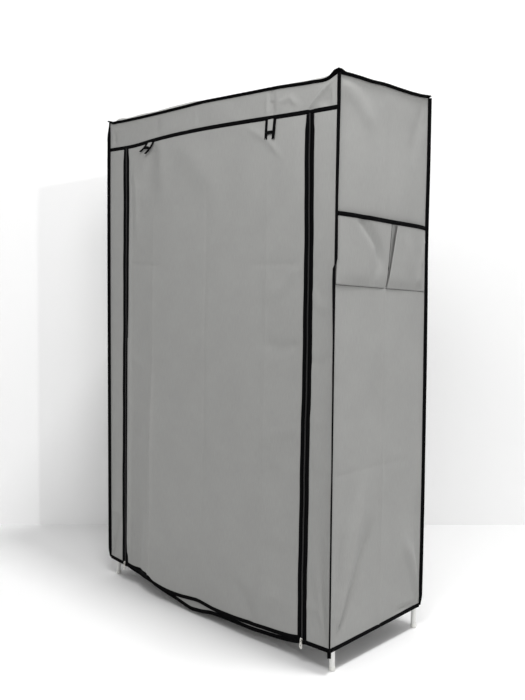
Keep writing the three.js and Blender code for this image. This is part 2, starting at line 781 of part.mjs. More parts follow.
// Pull: hangs from its pin, which lies in the arch; the window clears the arch's foot
function pullGeometry() {
  const windowHalf = archWidth / 2 + pinPlay;
  const neckHalf = windowHalf + pullThickness;
  const neckEnd = pullWindow + pullThickness;
  const shoulder = neckEnd + pullNeck;
  const outline = new THREE.Shape();
  outline.moveTo(-neckHalf, 0);
  outline.lineTo(-neckHalf, -neckEnd);
  outline.lineTo(-pullWidth / 2, -shoulder);
  outline.absarc(0, pullWidth / 2 - pullLength, pullWidth / 2, Math.PI, 2 * Math.PI, false);
  outline.lineTo(pullWidth / 2, -shoulder);
  outline.lineTo(neckHalf, -neckEnd);
  outline.lineTo(neckHalf, 0);
  const opening = new THREE.Path();
  opening.moveTo(-windowHalf, pinRadius / 2 - pinRadius);
  opening.lineTo(-windowHalf, -pullWindow);
  opening.lineTo(windowHalf, -pullWindow);
  opening.lineTo(windowHalf, pinRadius / 2 - pinRadius);
  const hole = new THREE.Path();
  hole.absarc(0, pullWidth - pullLength, pullHole, 0, 2 * Math.PI, true);
  outline.holes.push(opening, hole);
  const pin = roundBar(pinRadius, -neckHalf, neckHalf, 'x');
  const tab = plate(outline, -pullThickness / 2, pullThickness / 2);
  return toGeometry(toSolid(tab).add(toSolid(pin)));
}

const slider = sliderGeometry();
const pull = pullGeometry();
const sliderLevel = hemHeight + sliderLift;

for (const [side, sign] of [['left', -1], ['right', 1]]) {
  const stations = [zipBottom, headerEdge(sign * zipOffset)].map((z) => ({
    at: new THREE.Vector3(sign * zipOffset, zipY(z), z),
    first: new THREE.Vector3(sign, 0, 0),
    second: outFront,
  }));
  addMesh(`zip_tape_${side}`, sweep(stations, zipSection), blackTape);
  const carriage = new THREE.Group();
  carriage.position.set(sign * zipOffset, zipY(sliderLevel), sliderLevel);
  carriage.rotation.x = -zipTilt;
  wardrobe.add(carriage);
  addMesh(`zip_slider_${side}`, slider, silverMetal, carriage);
  addMesh(`zip_pull_${side}`, pull, silverMetal, carriage).position.set(0, -pinDepth, 0);
}

// Tie straps, sewn in front of the header binding: cloth between two bound edges, with a bar
// across the middle. The right one hangs straight; the left one has swung out to the side.

const tieMiddle = (front) => [
  [-tieWidth / 2, 0],
  [tieWidth / 2, 0],
  [tieWidth / 2, tieEdgeThickness],
  [tieWidth / 2 - tieEdge, tieEdgeThickness],
  [tieWidth / 2 - tieEdge, front],
  [tieEdge - tieWidth / 2, front],
  [tieEdge - tieWidth / 2, tieEdgeThickness],
  [-tieWidth / 2, tieEdgeThickness],
];
const tieCross = [tieCloth, tieEdgeThickness];
const barHalf = tieBar / (2 * tieLength);
const barSlope = barHalf / 4;
const tiePlaces = [
  [0, 0], [0.25, 0], [0.5 - barHalf - barSlope, 0], [0.5 - barHalf, 1], [0.5 + barHalf, 1],
  [0.5 + barHalf + barSlope, 0], [0.75, 0], [1, 0],
];

function tieGeometry(end, twist) {
  const bend = new THREE.QuadraticBezierCurve3(
    new THREE.Vector3(),
    new THREE.Vector3(end.x / 3, end.y / 3, -tieLength / 3),
    end,
  );
  const stations = tiePlaces.map(([share, bar]) => {
    const first = new THREE.Vector3(1, 0, -twist * share).normalize();
    const second = bend.getTangent(share).cross(first).normalize();
    return { at: bend.getPoint(share), first, second, section: tieMiddle(tieCross[bar]) };
  });
  return sweep(stations, tieMiddle(tieCloth));
}

const tieGap = tapeInner + bindingThickness + fitGap;
const tieTop = halfBinding - bindingThickness;
for (const [side, sign, end, twist] of [
  ['left', -1, new THREE.Vector3(-swungTieSide, -swungTieOut, -swungTieFall), swungTieTwist / tieWidth],
  ['right', 1, new THREE.Vector3(0, -tieLean, -tieLength), 0],
]) {
  const tie = addMesh(`tie_strap_${side}`, tieGeometry(end, twist), blackTape);
  tie.position.set(sign * tieOffset, -clothY - tieGap, headerHeight(sign * tieOffset) + tieTop);
}

// Side pocket: one cloth over two compartments, open at the top, with a slit between them
const pocketColumnShares = [
  [-0.975, -0.975, 0], [-0.93, -0.93, 0.35], [-0.76, -0.76, 0.8], [-0.45, -0.45, 1], [-0.12, -0.1, 0.85],
  [0.03, 0.12, 0.5], [0.04, 0.19, 0], [0.06, 0.32, 0], [0.09, 0.36, 0.5], [0.3, 0.5, 0.9],
  [0.6, 0.69, 1], [0.85, 0.88, 0.6], [0.96, 0.96, 0],
];
const pocketRowShares = [[0, 0], [0.12, 0.35], [0.35, 0.6], [0.6, 0.75], [0.82, 0.85], [1, 1]];
const pocketTop = (column) => pocketFront - pocketFall * (column + 1) / 2;

function pocketPoint([lowShare, highShare, fullness], row) {
  const column = between(lowShare, highShare, row);
  const rowHeight = pocketTop(column) - halfBinding - fitGap - pocketDepth * (1 - row);
  const low = sideHemHeight(column * clothY) + aboveHem;
  const high = underTop(clothX, column * clothY);
  const wall = sidePoint(column, (rowHeight - low) / (high - low));
  const puff = pocketPuff * fullness * along(pocketRowShares, row);
  return new THREE.Vector3(wall.x + pocketSeam + fabricThickness + puff, wall.y, rowHeight);
}

addMesh('side_pocket', sheet(
  pocketColumnShares,
  pocketRowShares.map(([share]) => share),
  pocketPoint,
  () => new THREE.Vector3(-fabricThickness, 0, 0),
), greyCloth);

const pocketTapeSection = rectangle(-skin, bindingThickness - skin, -halfBinding, halfBinding);
const pocketStations = pocketColumnShares.map((column) => {
  const at = pocketPoint(column, 1);
  at.z += aboveHem;
  return { at, first: outRight, second: up };
});
addMesh('pocket_binding', sweep(pocketStations, pocketTapeSection), blackTape);

export default wardrobe;
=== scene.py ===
import json
import math
import bpy
import numpy as np
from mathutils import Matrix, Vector

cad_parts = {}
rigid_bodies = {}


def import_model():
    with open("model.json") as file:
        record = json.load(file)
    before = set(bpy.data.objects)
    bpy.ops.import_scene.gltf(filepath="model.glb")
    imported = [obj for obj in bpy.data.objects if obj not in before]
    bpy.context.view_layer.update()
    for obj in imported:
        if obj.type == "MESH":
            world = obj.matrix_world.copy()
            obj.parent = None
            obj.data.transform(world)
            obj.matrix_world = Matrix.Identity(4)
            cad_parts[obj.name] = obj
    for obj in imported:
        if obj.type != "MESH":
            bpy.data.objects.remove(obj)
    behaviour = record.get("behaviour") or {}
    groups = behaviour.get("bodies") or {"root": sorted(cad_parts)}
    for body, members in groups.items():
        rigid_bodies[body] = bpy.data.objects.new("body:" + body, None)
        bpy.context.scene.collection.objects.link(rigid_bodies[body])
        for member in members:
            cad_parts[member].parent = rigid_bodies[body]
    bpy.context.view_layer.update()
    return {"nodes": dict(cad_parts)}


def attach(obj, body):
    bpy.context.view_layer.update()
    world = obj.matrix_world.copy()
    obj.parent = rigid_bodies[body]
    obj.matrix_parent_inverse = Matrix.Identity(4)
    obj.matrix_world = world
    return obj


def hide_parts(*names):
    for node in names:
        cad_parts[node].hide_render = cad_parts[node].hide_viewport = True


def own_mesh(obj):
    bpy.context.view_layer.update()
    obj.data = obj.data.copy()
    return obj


# Portable fabric wardrobe: a sewn grey cover with black bindings over a frame of thin white tubes.
# The dictionaries give the object in millimetres, and the camera, the lights and the stage in metres.
# Front is -Y, the pockets are on +X, and the feet's middle stands a little behind the origin.

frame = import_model()
print("frame loaded:", len(frame["nodes"]), "nodes")

mm = 0.001
root = "frame_and_cover"

cover = {
    "clothX": 508.565,  # half width, half depth and height of the cloth's own planes
    "clothY": 208.565,
    "clothZ": 1604.565,
    "backSet": 15.783,
    "cloth": 0.9,  # thickness of the cloth
    "header": 1531,  # middle of the tape above the door
    "headerDip": 8,
    "hem": 66,
    "hemRise": 6,
    "cornerPeak": 14,
    "topSag": 6,
    "cornerFlare": 13,  # how far the loose front stands out at its hem
    "zipFlare": 20,
    "bellyDepth": 18,
    "doorHemLift": 5,
    "doorHemSag": 24,
    "sillSag": 48,
    "sillSetback": 6,
    "sideBelly": 5,
    "zip": 414,  # middle of each zip, from the door's middle
    "doorEdge": 397.5,
    "stripEdge": 430.8,
}
clothX, clothY = cover["clothX"], cover["clothY"]


# Curves through listed places, each [place, height]
def along(table, place):
    places, heights = np.array(table, float).T
    slopes = np.gradient(heights, places)
    spot = np.clip(np.searchsorted(places, place, side="right") - 1, 0, len(places) - 2)
    span = places[spot + 1] - places[spot]
    t = np.clip((place - places[spot]) / span, 0, 1)
    return (heights[spot] * (1 + 2 * t) * (1 - t) ** 2 + heights[spot + 1] * t * t * (3 - 2 * t)
            + slopes[spot] * span * t * (1 - t) ** 2 + slopes[spot + 1] * span * t * t * (t - 1))


def straight(table, place):
    places, heights = np.array(table, float).T
    return np.interp(place, places, heights)


def between(low, high, share):
    return low + (high - low) * share


frontTop = [[-1, 1], [-0.97, 0.62], [-0.9, 0.48], [-0.75, 0.43], [-0.43, 0.54], [-0.2, 0.7], [-0.05, 0.84],
            [0.15, 0.74], [0.38, 0.6], [0.6, 0.46], [0.82, 0.11], [0.945, 0.2], [1, 1]]
sideTop = [[-1, 1], [-0.93, 0.97], [-0.76, 1], [-0.55, 0.93], [-0.34, 0.8], [-0.04, 0.84], [0.33, 0.6],
           [0.69, 0.45], [0.93, 0.54], [1, 0.64]]
backTop = [[-1, 0.64], [-0.9, 0.5], [-0.5, 0.3], [0, 0.4], [0.5, 0.3], [0.9, 0.5], [1, 0.64]]
headerLine = [[-1, 1], [-0.73, 1], [-0.505, 0], [1, 0]]
bellyLine = [[-1, 0], [-0.86, 0.12], [-0.72, 0.75], [-0.58, 1], [-0.32, 0.9], [-0.06, 0.64], [0.18, 0.62],
             [0.4, 0.6], [0.6, 0.42], [0.8, 0.18], [1, 0]]
doorHemLine = [[-1, 0.1], [-0.935, 0.18], [-0.85, 0.18], [-0.75, 0.06], [-0.665, 0.0], [-0.635, 0.12],
               [-0.6, 0.55], [-0.55, 0.74], [-0.48, 0.9], [-0.4, 1], [-0.26, 0.98], [-0.12, 0.76],
               [-0.05, 0.65], [0.02, 0.71], [0.13, 0.86], [0.3, 0.82], [0.5, 0.67], [0.646, 0.56],
               [0.85, 0.36], [0.94, 0.2], [1, 0]]
sillLine = [[-1, 0], [-0.96, 0.08], [-0.82, 0.26], [-0.72, 0.28], [-0.62, 0.28], [-0.54, 0.39],
            [-0.39, 0.6], [-0.255, 0.79], [-0.18, 0.92], [-0.124, 1], [-0.06, 0.96], [0.007, 0.88],
            [0.08, 0.74], [0.18, 0.65], [0.385, 0.59], [0.5, 0.58], [0.61, 0.52], [0.74, 0.44],
            [0.9, 0.24], [0.96, 0.1], [1, 0]]
sideSwell = [[-1, 0], [-0.93, 0.3], [-0.76, 0.55], [-0.55, 0.85], [-0.34, 1], [-0.04, 0.7], [0.33, 1],
             [0.69, 0.7], [0.93, 0.3], [1, 0]]


def dropAt(z):
    return np.clip((cover["header"] - z) / (cover["header"] - cover["hem"]), 0, 1)


def cornerDepth(z):
    return -clothY - cover["cornerFlare"] * dropAt(z) ** 0.7


def zipDepth(z):
    return -clothY - cover["zipFlare"] * dropAt(z)


def frontDepth(x, z):
    door = zipDepth(z) - cover["bellyDepth"] * dropAt(z) * along(bellyLine, x / cover["doorEdge"])
    share = (np.abs(x) - cover["stripEdge"]) / (clothX - cover["stripEdge"])
    strip = between(zipDepth(z), cornerDepth(z), np.clip(share, 0, 1))
    return np.where(np.abs(x) <= cover["doorEdge"], door, strip)


def topHeight(x, y):
    u, v = (x / clothX + 1) / 2, (y / clothY + 1) / 2
    ends = (1 - u) ** 3 + u ** 3
    front = (1 - v) ** 3 * (along(frontTop, x / clothX) - ends)
    back = v ** 3 * (along(backTop, x / clothX) - ends * backTop[0][1])
    lift = front + back + ends * along(sideTop, y / clothY)
    sag = cover["topSag"] * np.sin(np.pi * u) * np.sin(np.pi * v)
    return cover["clothZ"] + cover["cornerPeak"] * lift - sag


def headerHeight(x):
    return cover["header"] - cover["headerDip"] * along(headerLine, x / clothX)


def doorHemHeight(x):
    sag = cover["doorHemSag"] * along(doorHemLine, x / cover["doorEdge"])
    return cover["hem"] + cover["doorHemLift"] - sag


def sideHemHeight(y):
    return cover["hem"] + cover["hemRise"] * (y / clothY + 1) / 2


def hemPlace(x):
    inside = np.clip((cover["stripEdge"] - np.abs(x)) / (cover["stripEdge"] - cover["zip"]), 0, 1)
    sag = np.where(inside > 0, along(sillLine, x / cover["stripEdge"]), 0)
    depth = frontDepth(x, cover["hem"] + 0 * x) + cover["sillSetback"] * inside
    return depth, cover["hem"] - cover["sillSag"] * sag


foldFade = 0.35  # share of its length over which a fold dies away
fullTurn = 6.283  # radians, near enough for waves


# How much of its lift cloth keeps near an edge that holds it, from the least at the edge itself
def freed(away, ramp, least):
    return np.clip(away / ramp, least, 1)


# A place on a sheet as plain numbers
def spotOn(place, u, v):
    return tuple(float(k) for k in place(np.float64(u), np.float64(v)))


# Folds in cloth: a kind, the width and height, how much wider it ends, and the places it runs through.
# A crease was pressed and is sharp, and a roll is soft. Held ones keep their height where they start.
def foldLift(across, rise, folds):
    lift = np.zeros_like(across, dtype=float)
    for kind, wide, height, spread, *path in folds:
        points = np.array(path, float)
        lengths = np.linalg.norm(np.diff(points, axis=0), axis=1)
        nearest, share, before = np.full_like(lift, 1e9), np.zeros_like(lift), 0
        for start, end, length in zip(points[:-1], points[1:], lengths):
            way = (end - start) / length
            run = np.clip((across - start[0]) * way[0] + (rise - start[1]) * way[1], 0, length)
            away = np.hypot(across - start[0] - run * way[0], rise - start[1] - run * way[1])
            share = np.where(away < nearest, (before + run) / lengths.sum(), share)
            nearest = np.minimum(nearest, away)
            before += length
        fade = np.clip((1 - share) / foldFade, 0, 1)
        if not kind.startswith("held"):
            fade = fade * np.clip(share / foldFade, 0, 1)
        fade = fade * fade * (3 - 2 * fade)
        width = wide * between(1, spread, share)
        shape = np.exp(-nearest / width) if kind.endswith("crease") else np.exp(-(nearest / width) ** 2)
        lift += height * fade * shape
    return lift


# Cloth rests on the frame's tubes and connectors where a fold would sink into them. Post and ring
# are how far the frame's axes stand from the middle, along the sheet and away from it.
frameLook = {
    "x": 497.565,  # half width and half depth of the frame, to the tubes' axes
    "y": 197.565,
    "levels": {"lower": 105, "shelf": 1349.565, "top": 1593.565},
    "seat": 11.5,  # how far the level tubes stop short of the posts' axes
    "tube": 9.1,  # how far cloth stays from a tube's axis, and from that of a moulding
    "moulding": 10.8,
    "tubeNear": 14,  # how far that holds to each side of an axis, and along one from a corner
    "mouldingNear": 12,
    "mouldingReach": 56,
}
bothSides = (("left", -1), ("right", 1))
corners = (("front_left", -1, -1), ("front_right", 1, -1), ("back_left", -1, 1), ("back_right", 1, 1))


def restOnFrame(across, rise, depth, sides=False):
    post, ring = (frameLook["y"], frameLook["x"]) if sides else (frameLook["x"], frameLook["y"])
    fromPost = np.abs(np.abs(across) - post)
    fromRing = np.min([np.abs(rise - level) for level in frameLook["levels"].values()], axis=0)
    overTube = (fromPost < frameLook["tubeNear"]) | (fromRing < frameLook["tubeNear"])
    stand = np.where(overTube, ring + frameLook["tube"], 0)
    near, reach = frameLook["mouldingNear"], frameLook["mouldingReach"]
    atMoulding = ((fromPost < reach) & (fromRing < near)) | ((fromPost < near) & (fromRing < reach))
    stand = np.where(atMoulding, ring + frameLook["moulding"], stand)
    return np.maximum(depth, stand)


# Slow uneven slackness of cloth that hangs: waves of about a size, with a height
def slack(across, rise, size, height, seed):
    rng = np.random.default_rng(seed)
    total = np.zeros_like(across, dtype=float)
    waves = 7
    for _ in range(waves):
        angle, length = rng.uniform(0, fullTurn), size * rng.uniform(0.6, 1.7)
        phase = rng.uniform(0, fullTurn)
        total += np.sin(fullTurn * (across * math.cos(angle) + rise * math.sin(angle)) / length + phase)
    return height * total / waves ** 0.5


# How far its folds and its slackness lift a sheet
def liftOf(look, across, rise, *seed, folds=None):
    lift = look.get("relief", 1) * foldLift(across, rise, folds or look["folds"])
    return lift + slack(across, rise, *look["slack"], *seed)


# Cloth is held where the header's tape runs over it
def underHeader(x, z):
    return freed(headerHeight(x) - 8 - z, 30, 0.03)


def toLinear(hexColour):
    parts = [int(hexColour[i:i + 2], 16) / 255 for i in (1, 3, 5)]
    return tuple(p / 12.92 if p <= 0.04045 else ((p + 0.055) / 1.055) ** 2.4 for p in parts) + (1,)


# Adds a node, sets its inputs or its options, and links other nodes' sockets (or first outputs) to it
def addNode(tree, kind, settings=(), links=()):
    made = tree.nodes.new("ShaderNode" + kind)
    for key, value in dict(settings).items():
        if isinstance(key, int) or key in made.inputs:
            made.inputs[key].default_value = value
        else:
            setattr(made, key, value)
    for key, source in dict(links).items():
        tree.links.new(getattr(source, "outputs", [source])[0], made.inputs[key])
    return made


def ranged(tree, source, low, high, first, last):
    ends = {"From Min": low, "From Max": high, "To Min": first, "To Max": last}
    return addNode(tree, "MapRange", ends, {"Value": source})


# A colour made lighter or darker by a shade
def tinted(tree, hexColour, shade):
    return addNode(tree, "VectorMath", {"operation": "SCALE", 0: toLinear(hexColour)[:3]}, {"Scale": shade})


# 1 where the camera or a mirror looks, and 0 where light bounces
def lookedAt(tree, rays):
    return addNode(tree, "Math", {"operation": "MAXIMUM"},
                   {0: rays.outputs["Is Camera Ray"], 1: rays.outputs["Is Glossy Ray"]})


def newMaterial(name):
    material = bpy.data.materials.new(name)
    material.use_nodes = True
    tree = material.node_tree
    tree.nodes.clear()
    return material, tree, addNode(tree, "OutputMaterial")


# The surface itself, with a relief of some depth, joined to the output
def surfaced(material, tree, output, relief, strength, depthMm, settings, links):
    bump = addNode(tree, "Bump", {"Strength": strength, "Distance": depthMm * mm}, {"Height": relief})
    body = addNode(tree, "BsdfPrincipled", settings, {**links, "Normal": bump})
    tree.links.new(body.outputs[0], output.inputs[0])
    return material


# Spunbond polypropylene: fibres laid flat and bonded by hot rollers, which leaves a dull, slightly
# cloudy sheet with a fine lengthwise grain and rows of tiny pressed dots
clothLook = {"hex": "#9e9e9c", "grainMm": 2.2, "grainRunMm": 26, "cloudMm": 90, "dotMm": 3.2}


def spunbondCloth():
    material, tree, output = newMaterial("spunbond_cloth")
    run = addNode(tree, "UVMap", {"uv_map": "clothRun"}).outputs["UV"]
    stretch = (1 / (clothLook["grainMm"] * mm), 1 / (clothLook["grainRunMm"] * mm), 1)
    grain = addNode(tree, "Mapping", {"Scale": stretch}, {"Vector": run})
    fibres = addNode(tree, "TexNoise", {"Scale": 1, "Detail": 5, "Roughness": 0.65}, {"Vector": grain})
    clouds = addNode(tree, "TexNoise", {"Scale": 1 / (clothLook["cloudMm"] * mm), "Detail": 3,
                                        "Roughness": 0.5}, {"Vector": run})
    shade = ranged(tree, fibres, 0.25, 0.75, 0.93, 1.06)
    cloudShade = ranged(tree, clouds, 0.3, 0.7, 0.975, 1.02)
    both = addNode(tree, "Math", {"operation": "MULTIPLY"}, {0: shade, 1: cloudShade})
    colour = tinted(tree, clothLook["hex"], both)
    # the pressed dots are about 1 mm apart on real cloth; they are drawn three times coarser to show
    dots = addNode(tree, "TexVoronoi", {"voronoi_dimensions": "2D", "Scale": 1 / (clothLook["dotMm"] * mm),
                                        "Randomness": 0.25}, {"Vector": run})
    pressed = ranged(tree, dots, 0.15, 0.4, 0, 1)
    relief = addNode(tree, "Math", {"operation": "MULTIPLY_ADD", 1: 0.5}, {0: pressed, 2: fibres})
    settings = {"Roughness": 0.85, "IOR": 1.49, "Sheen Weight": 0.12, "Sheen Roughness": 0.5,
                "Specular IOR Level": 0.3}
    return surfaced(material, tree, output, relief, 0.35, 0.25, settings, {"Base Color": colour})


# Polyester binding tape: dense black weave folded over the cloth's edge, with cross ribs that catch
# a little light and a stitched row along each edge
tapeLook = {"hex": "#060607", "ribMm": 1.8}


def wovenTape():
    material, tree, output = newMaterial("woven_binding_tape")
    run = addNode(tree, "UVMap", {"uv_map": "clothRun"}).outputs["UV"]
    axes = addNode(tree, "SeparateXYZ", {}, {0: run})
    # ribs are about 0.7 mm apart on real tape and are drawn coarser to show
    turns = addNode(tree, "Math", {"operation": "MULTIPLY", 1: fullTurn / (tapeLook["ribMm"] * mm)},
                    {0: axes.outputs[1]})
    ribs = addNode(tree, "Math", {"operation": "SINE"}, {0: turns})
    wear = addNode(tree, "TexNoise", {"Scale": 240, "Detail": 4}, {"Vector": run})
    shade = ranged(tree, wear, 0.35, 0.75, 0.75, 1.7)
    colour = tinted(tree, tapeLook["hex"], shade)
    relief = addNode(tree, "Math", {"operation": "MULTIPLY_ADD", 1: 0.4}, {0: ribs, 2: wear})
    # the weave swallows most of the light that its threads mirror
    settings = {"Roughness": 0.8, "IOR": 1.55, "Specular IOR Level": 0.03}
    return surfaced(material, tree, output, relief, 0.5, 0.3, settings, {"Base Color": colour})


# Hard materials share one build: colour with faint soiling, and a fine relief from how it was made
def hardFinish(name, look):
    material, tree, output = newMaterial(name)
    place = addNode(tree, "TexCoord").outputs["Object"]
    grain = addNode(tree, "TexNoise", {"Scale": 1 / (look["grainMm"] * mm), "Detail": 4}, {"Vector": place})
    shade = ranged(tree, grain, 0.3, 0.7, 1 - look["uneven"], 1 + look["uneven"] * 0.3)
    colour = tinted(tree, look["hex"], shade)
    rough = ranged(tree, grain, 0.3, 0.7, look["rough"] - 0.05, look["rough"] + 0.06)
    settings = {"Metallic": look.get("metal", 0), "Specular IOR Level": look.get("mirror", 0.5),
                "Coat Weight": look.get("coat", 0), "Coat Roughness": 0.15}
    if not look.get("metal"):
        settings["IOR"] = look["ior"]
    links = {"Base Color": colour, "Roughness": rough}
    return surfaced(material, tree, output, grain, 0.25, look["reliefMm"], settings, links)


cloth = spunbondCloth()
tape = wovenTape()
# White powder coat baked on steel tube: bright, satin, with a faint orange peel
powderCoat = hardFinish("powder_coated_steel", {
    "hex": "#f7f7f4", "grainMm": 1.5, "uneven": 0.03, "rough": 0.32, "reliefMm": 0.04, "ior": 1.5,
    "coat": 0.15})
# Injection-moulded polypropylene: a softer white with a light spark-eroded grain
mouldedPlastic = hardFinish("moulded_polypropylene", {
    "hex": "#e9e9e4", "grainMm": 0.9, "uneven": 0.04, "rough": 0.45, "reliefMm": 0.05, "ior": 1.49})
# Nylon filament wound into a coil: black, with a gloss along each turn that draws two fine lines
nylonCoil = hardFinish("wound_nylon_coil", {
    "hex": "#101011", "grainMm": 0.8, "uneven": 0.1, "rough": 0.42, "reliefMm": 0.02, "ior": 1.53,
    "mirror": 0.3})
# Die-cast zinc, barrel plated in nickel: bright, with soft polish marks
nickelPlate = hardFinish("nickel_plated_zinc", {
    "hex": "#cfcdc8", "grainMm": 0.6, "uneven": 0.08, "rough": 0.24, "reliefMm": 0.02, "metal": 1})
print("materials made")


def finishMesh(name, points, faces, runs, material, body, smooth=True):
    mesh = bpy.data.meshes.new(name)
    shifted = np.array(points, float) + (0, cover["backSet"], 0)
    mesh.from_pydata((shifted * mm).tolist(), [], faces)
    layer = mesh.uv_layers.new(name="clothRun")
    order = np.zeros(len(mesh.loops), int)
    mesh.loops.foreach_get("vertex_index", order)
    layer.data.foreach_set("uv", (np.array(runs, float)[order] * mm).ravel())
    mesh.polygons.foreach_set("use_smooth", [smooth] * len(mesh.polygons))
    mesh.materials.append(material)
    piece = bpy.data.objects.new(name, mesh)
    bpy.context.scene.collection.objects.link(piece)
    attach(piece, body)
    return piece


def gridFaces(wide, tall, openAfter=None):
    return [(r * wide + c, r * wide + c + 1, (r + 1) * wide + c + 1, (r + 1) * wide + c)
            for r in range(tall - 1) for c in range(wide - 1) if c != openAfter]


# Faces round rings of points, which close on themselves or are capped at both ends
def ringFaces(count, sides, closed):
    faces = []
    for ring in range(count if closed else count - 1):
        here, after = ring * sides, (ring + 1) % count * sides
        for k in range(sides):
            beside = (k + 1) % sides
            faces.append((here + k, here + beside, after + beside, after + k))
    if not closed:
        faces += [tuple(range(sides))[::-1], tuple((count - 1) * sides + k for k in range(sides))]
    return faces


def thicken(piece, thick, side):
    solid = piece.modifiers.new("cloth", "SOLIDIFY")
    solid.thickness, solid.offset = thick * mm, side


# A sheet of cloth from a grid: place gives x, y, z for arrays across and up the sheet, and run is
# how much cloth one step of each stands for
def clothPiece(name, columns, rows, place, run, turned=False, openAfter=None):
    u, v = np.meshgrid(columns, rows)
    points = np.stack(place(u, v), -1).reshape(-1, 3)
    runs = np.stack((u * run[0], v * run[1]), -1).reshape(-1, 2)
    faces = gridFaces(len(columns), len(rows), openAfter)
    if turned:
        faces = [quad[::-1] for quad in faces]
    piece = finishMesh(name, points, faces, runs, cloth, root)
    thicken(piece, cover["cloth"], -1)
    return piece


# A section of [first, second] offsets, or one for each station, carried along a line. A station is
# (at, first, second).
def sweptPiece(name, stations, section, material=tape, body=root, ring=False, smooth=True):
    at, first, second = (np.array([s[k] for s in stations], float) for k in range(3))
    section = np.array(section, float)
    shapes = section if section.ndim == 3 else np.repeat(section[None], len(at), 0)
    points = at[:, None] + shapes[..., :1] * first[:, None] + shapes[..., 1:] * second[:, None]
    steps = np.linalg.norm(np.diff(at, axis=0), axis=1)
    run = np.concatenate([[0], np.cumsum(steps)])
    girth = np.concatenate([[0], np.cumsum(np.linalg.norm(np.diff(shapes[0], axis=0), axis=1))])
    runs = np.stack(np.broadcast_arrays(girth[None, :], run[:, None]), -1).reshape(-1, 2)
    faces = ringFaces(len(at), shapes.shape[1], ring)
    return finishMesh(name, points.reshape(-1, 3), faces, runs, material, body, smooth)


# Camera: fitted to the cover's bound edges in the photograph
view = {"at": (1.8867, -1.9162 + cover["backSet"] * mm, 1.1112), "yaw": 46.522, "pitch": -3.993,
        "lens": 42.074, "shift": (0.0512, -0.0361)}
camera = bpy.data.objects.new("camera", bpy.data.cameras.new("camera"))
bpy.context.scene.collection.objects.link(camera)
camera.location = view["at"]
camera.rotation_euler = (math.radians(90 + view["pitch"]), 0, math.radians(view["yaw"]))
camera.data.lens, camera.data.sensor_width = view["lens"], 36
camera.data.shift_x, camera.data.shift_y = view["shift"]
bpy.context.scene.camera = camera

# Light: pale surroundings, a soft panel above the front right, a farther one overhead, which draws
# the shadow under the door, and a low lamp on the right, which draws the one on the wall
lights = {
    "world": 0.46,
    "panels": [{"at": (1.0, -1.1, 2.5), "size": 0.8, "watts": 19},
               {"at": (1.5, 0.25, 6.0), "size": 0.7, "watts": 151}],
    "lamp": 0.32, "lampSoft": 1.2, "lampFrom": (0.97, -0.163, 0.262),
}
scene = bpy.context.scene
scene.view_settings.view_transform = "Standard"
world = bpy.data.worlds.new("surroundings")
scene.world = world
world.use_nodes = True
skyTree = world.node_tree
skyTree.nodes.clear()
skyOut = addNode(skyTree, "OutputWorld")
path = addNode(skyTree, "LightPath")
soft = addNode(skyTree, "Background", {"Color": (1, 1, 1, 1), "Strength": lights["world"]})
seen = addNode(skyTree, "Background", {"Color": (1, 1, 1, 1), "Strength": 0.97})
mixed = addNode(skyTree, "MixShader", {}, {0: lookedAt(skyTree, path), 1: soft, 2: seen})
skyTree.links.new(mixed.outputs[0], skyOut.inputs[0])

for look in lights["panels"]:
    panel = bpy.data.objects.new("panel", bpy.data.lights.new("panel", "AREA"))
    scene.collection.objects.link(panel)
    panel.data.shape, panel.data.size, panel.data.energy = "SQUARE", look["size"], look["watts"]
    panel.location = look["at"]
    panel.rotation_euler = (Vector((0, 0, 0.8)) - Vector(look["at"])).to_track_quat("-Z", "Y").to_euler()
lamp = bpy.data.objects.new("lamp", bpy.data.lights.new("lamp", "SUN"))
scene.collection.objects.link(lamp)
lamp.data.energy, lamp.data.angle = lights["lamp"], math.radians(lights["lampSoft"])
lamp.rotation_euler = Vector(lights["lampFrom"]).to_track_quat("Z", "Y").to_euler()

# Floor and paper backdrop: the camera sees them paler than they light the object
studio = {"seenFloor": 0.98, "seenWall": 1.065, "real": 0.8,
          "wallAt": (-1.192, -0.117 + cover["backSet"] * mm), "wallTurn": 46.522}


def paleStage(name, seen):
    material, tree, output = newMaterial(name)
    rays = addNode(tree, "LightPath")
    shades = {"To Min": studio["real"], "To Max": seen}
    pale = addNode(tree, "MapRange", shades, {"Value": lookedAt(tree, rays)})
    surface = addNode(tree, "BsdfDiffuse", {}, {"Color": pale})
    # clear from behind, so that the object's back can be looked at
    side = addNode(tree, "NewGeometry")
    clear = addNode(tree, "BsdfTransparent")
    faced = addNode(tree, "MixShader", {}, {0: side.outputs["Backfacing"], 1: surface, 2: clear})
    tree.links.new(faced.outputs[0], output.inputs[0])
    return material


floorMesh = bpy.data.meshes.new("floor")
floorMesh.from_pydata([(-9, -9, 0), (9, -9, 0), (9, 9, 0), (-9, 9, 0)], [], [(0, 1, 2, 3)])
floor = bpy.data.objects.new("floor", floorMesh)
wallMesh = bpy.data.meshes.new("backdrop")
wallMesh.from_pydata([(-8, 0, 0), (8, 0, 0), (8, 0, 7), (-8, 0, 7)], [], [(0, 1, 2, 3)])
wall = bpy.data.objects.new("backdrop", wallMesh)
wall.location = (*studio["wallAt"], 0)
wall.rotation_euler = (0, 0, math.radians(studio["wallTurn"]))
for piece, seen in ((floor, studio["seenFloor"]), (wall, studio["seenWall"])):
    piece.data.materials.append(paleStage(f"white_{piece.name}", seen))
    scene.collection.objects.link(piece)
print("camera, light and floor set")

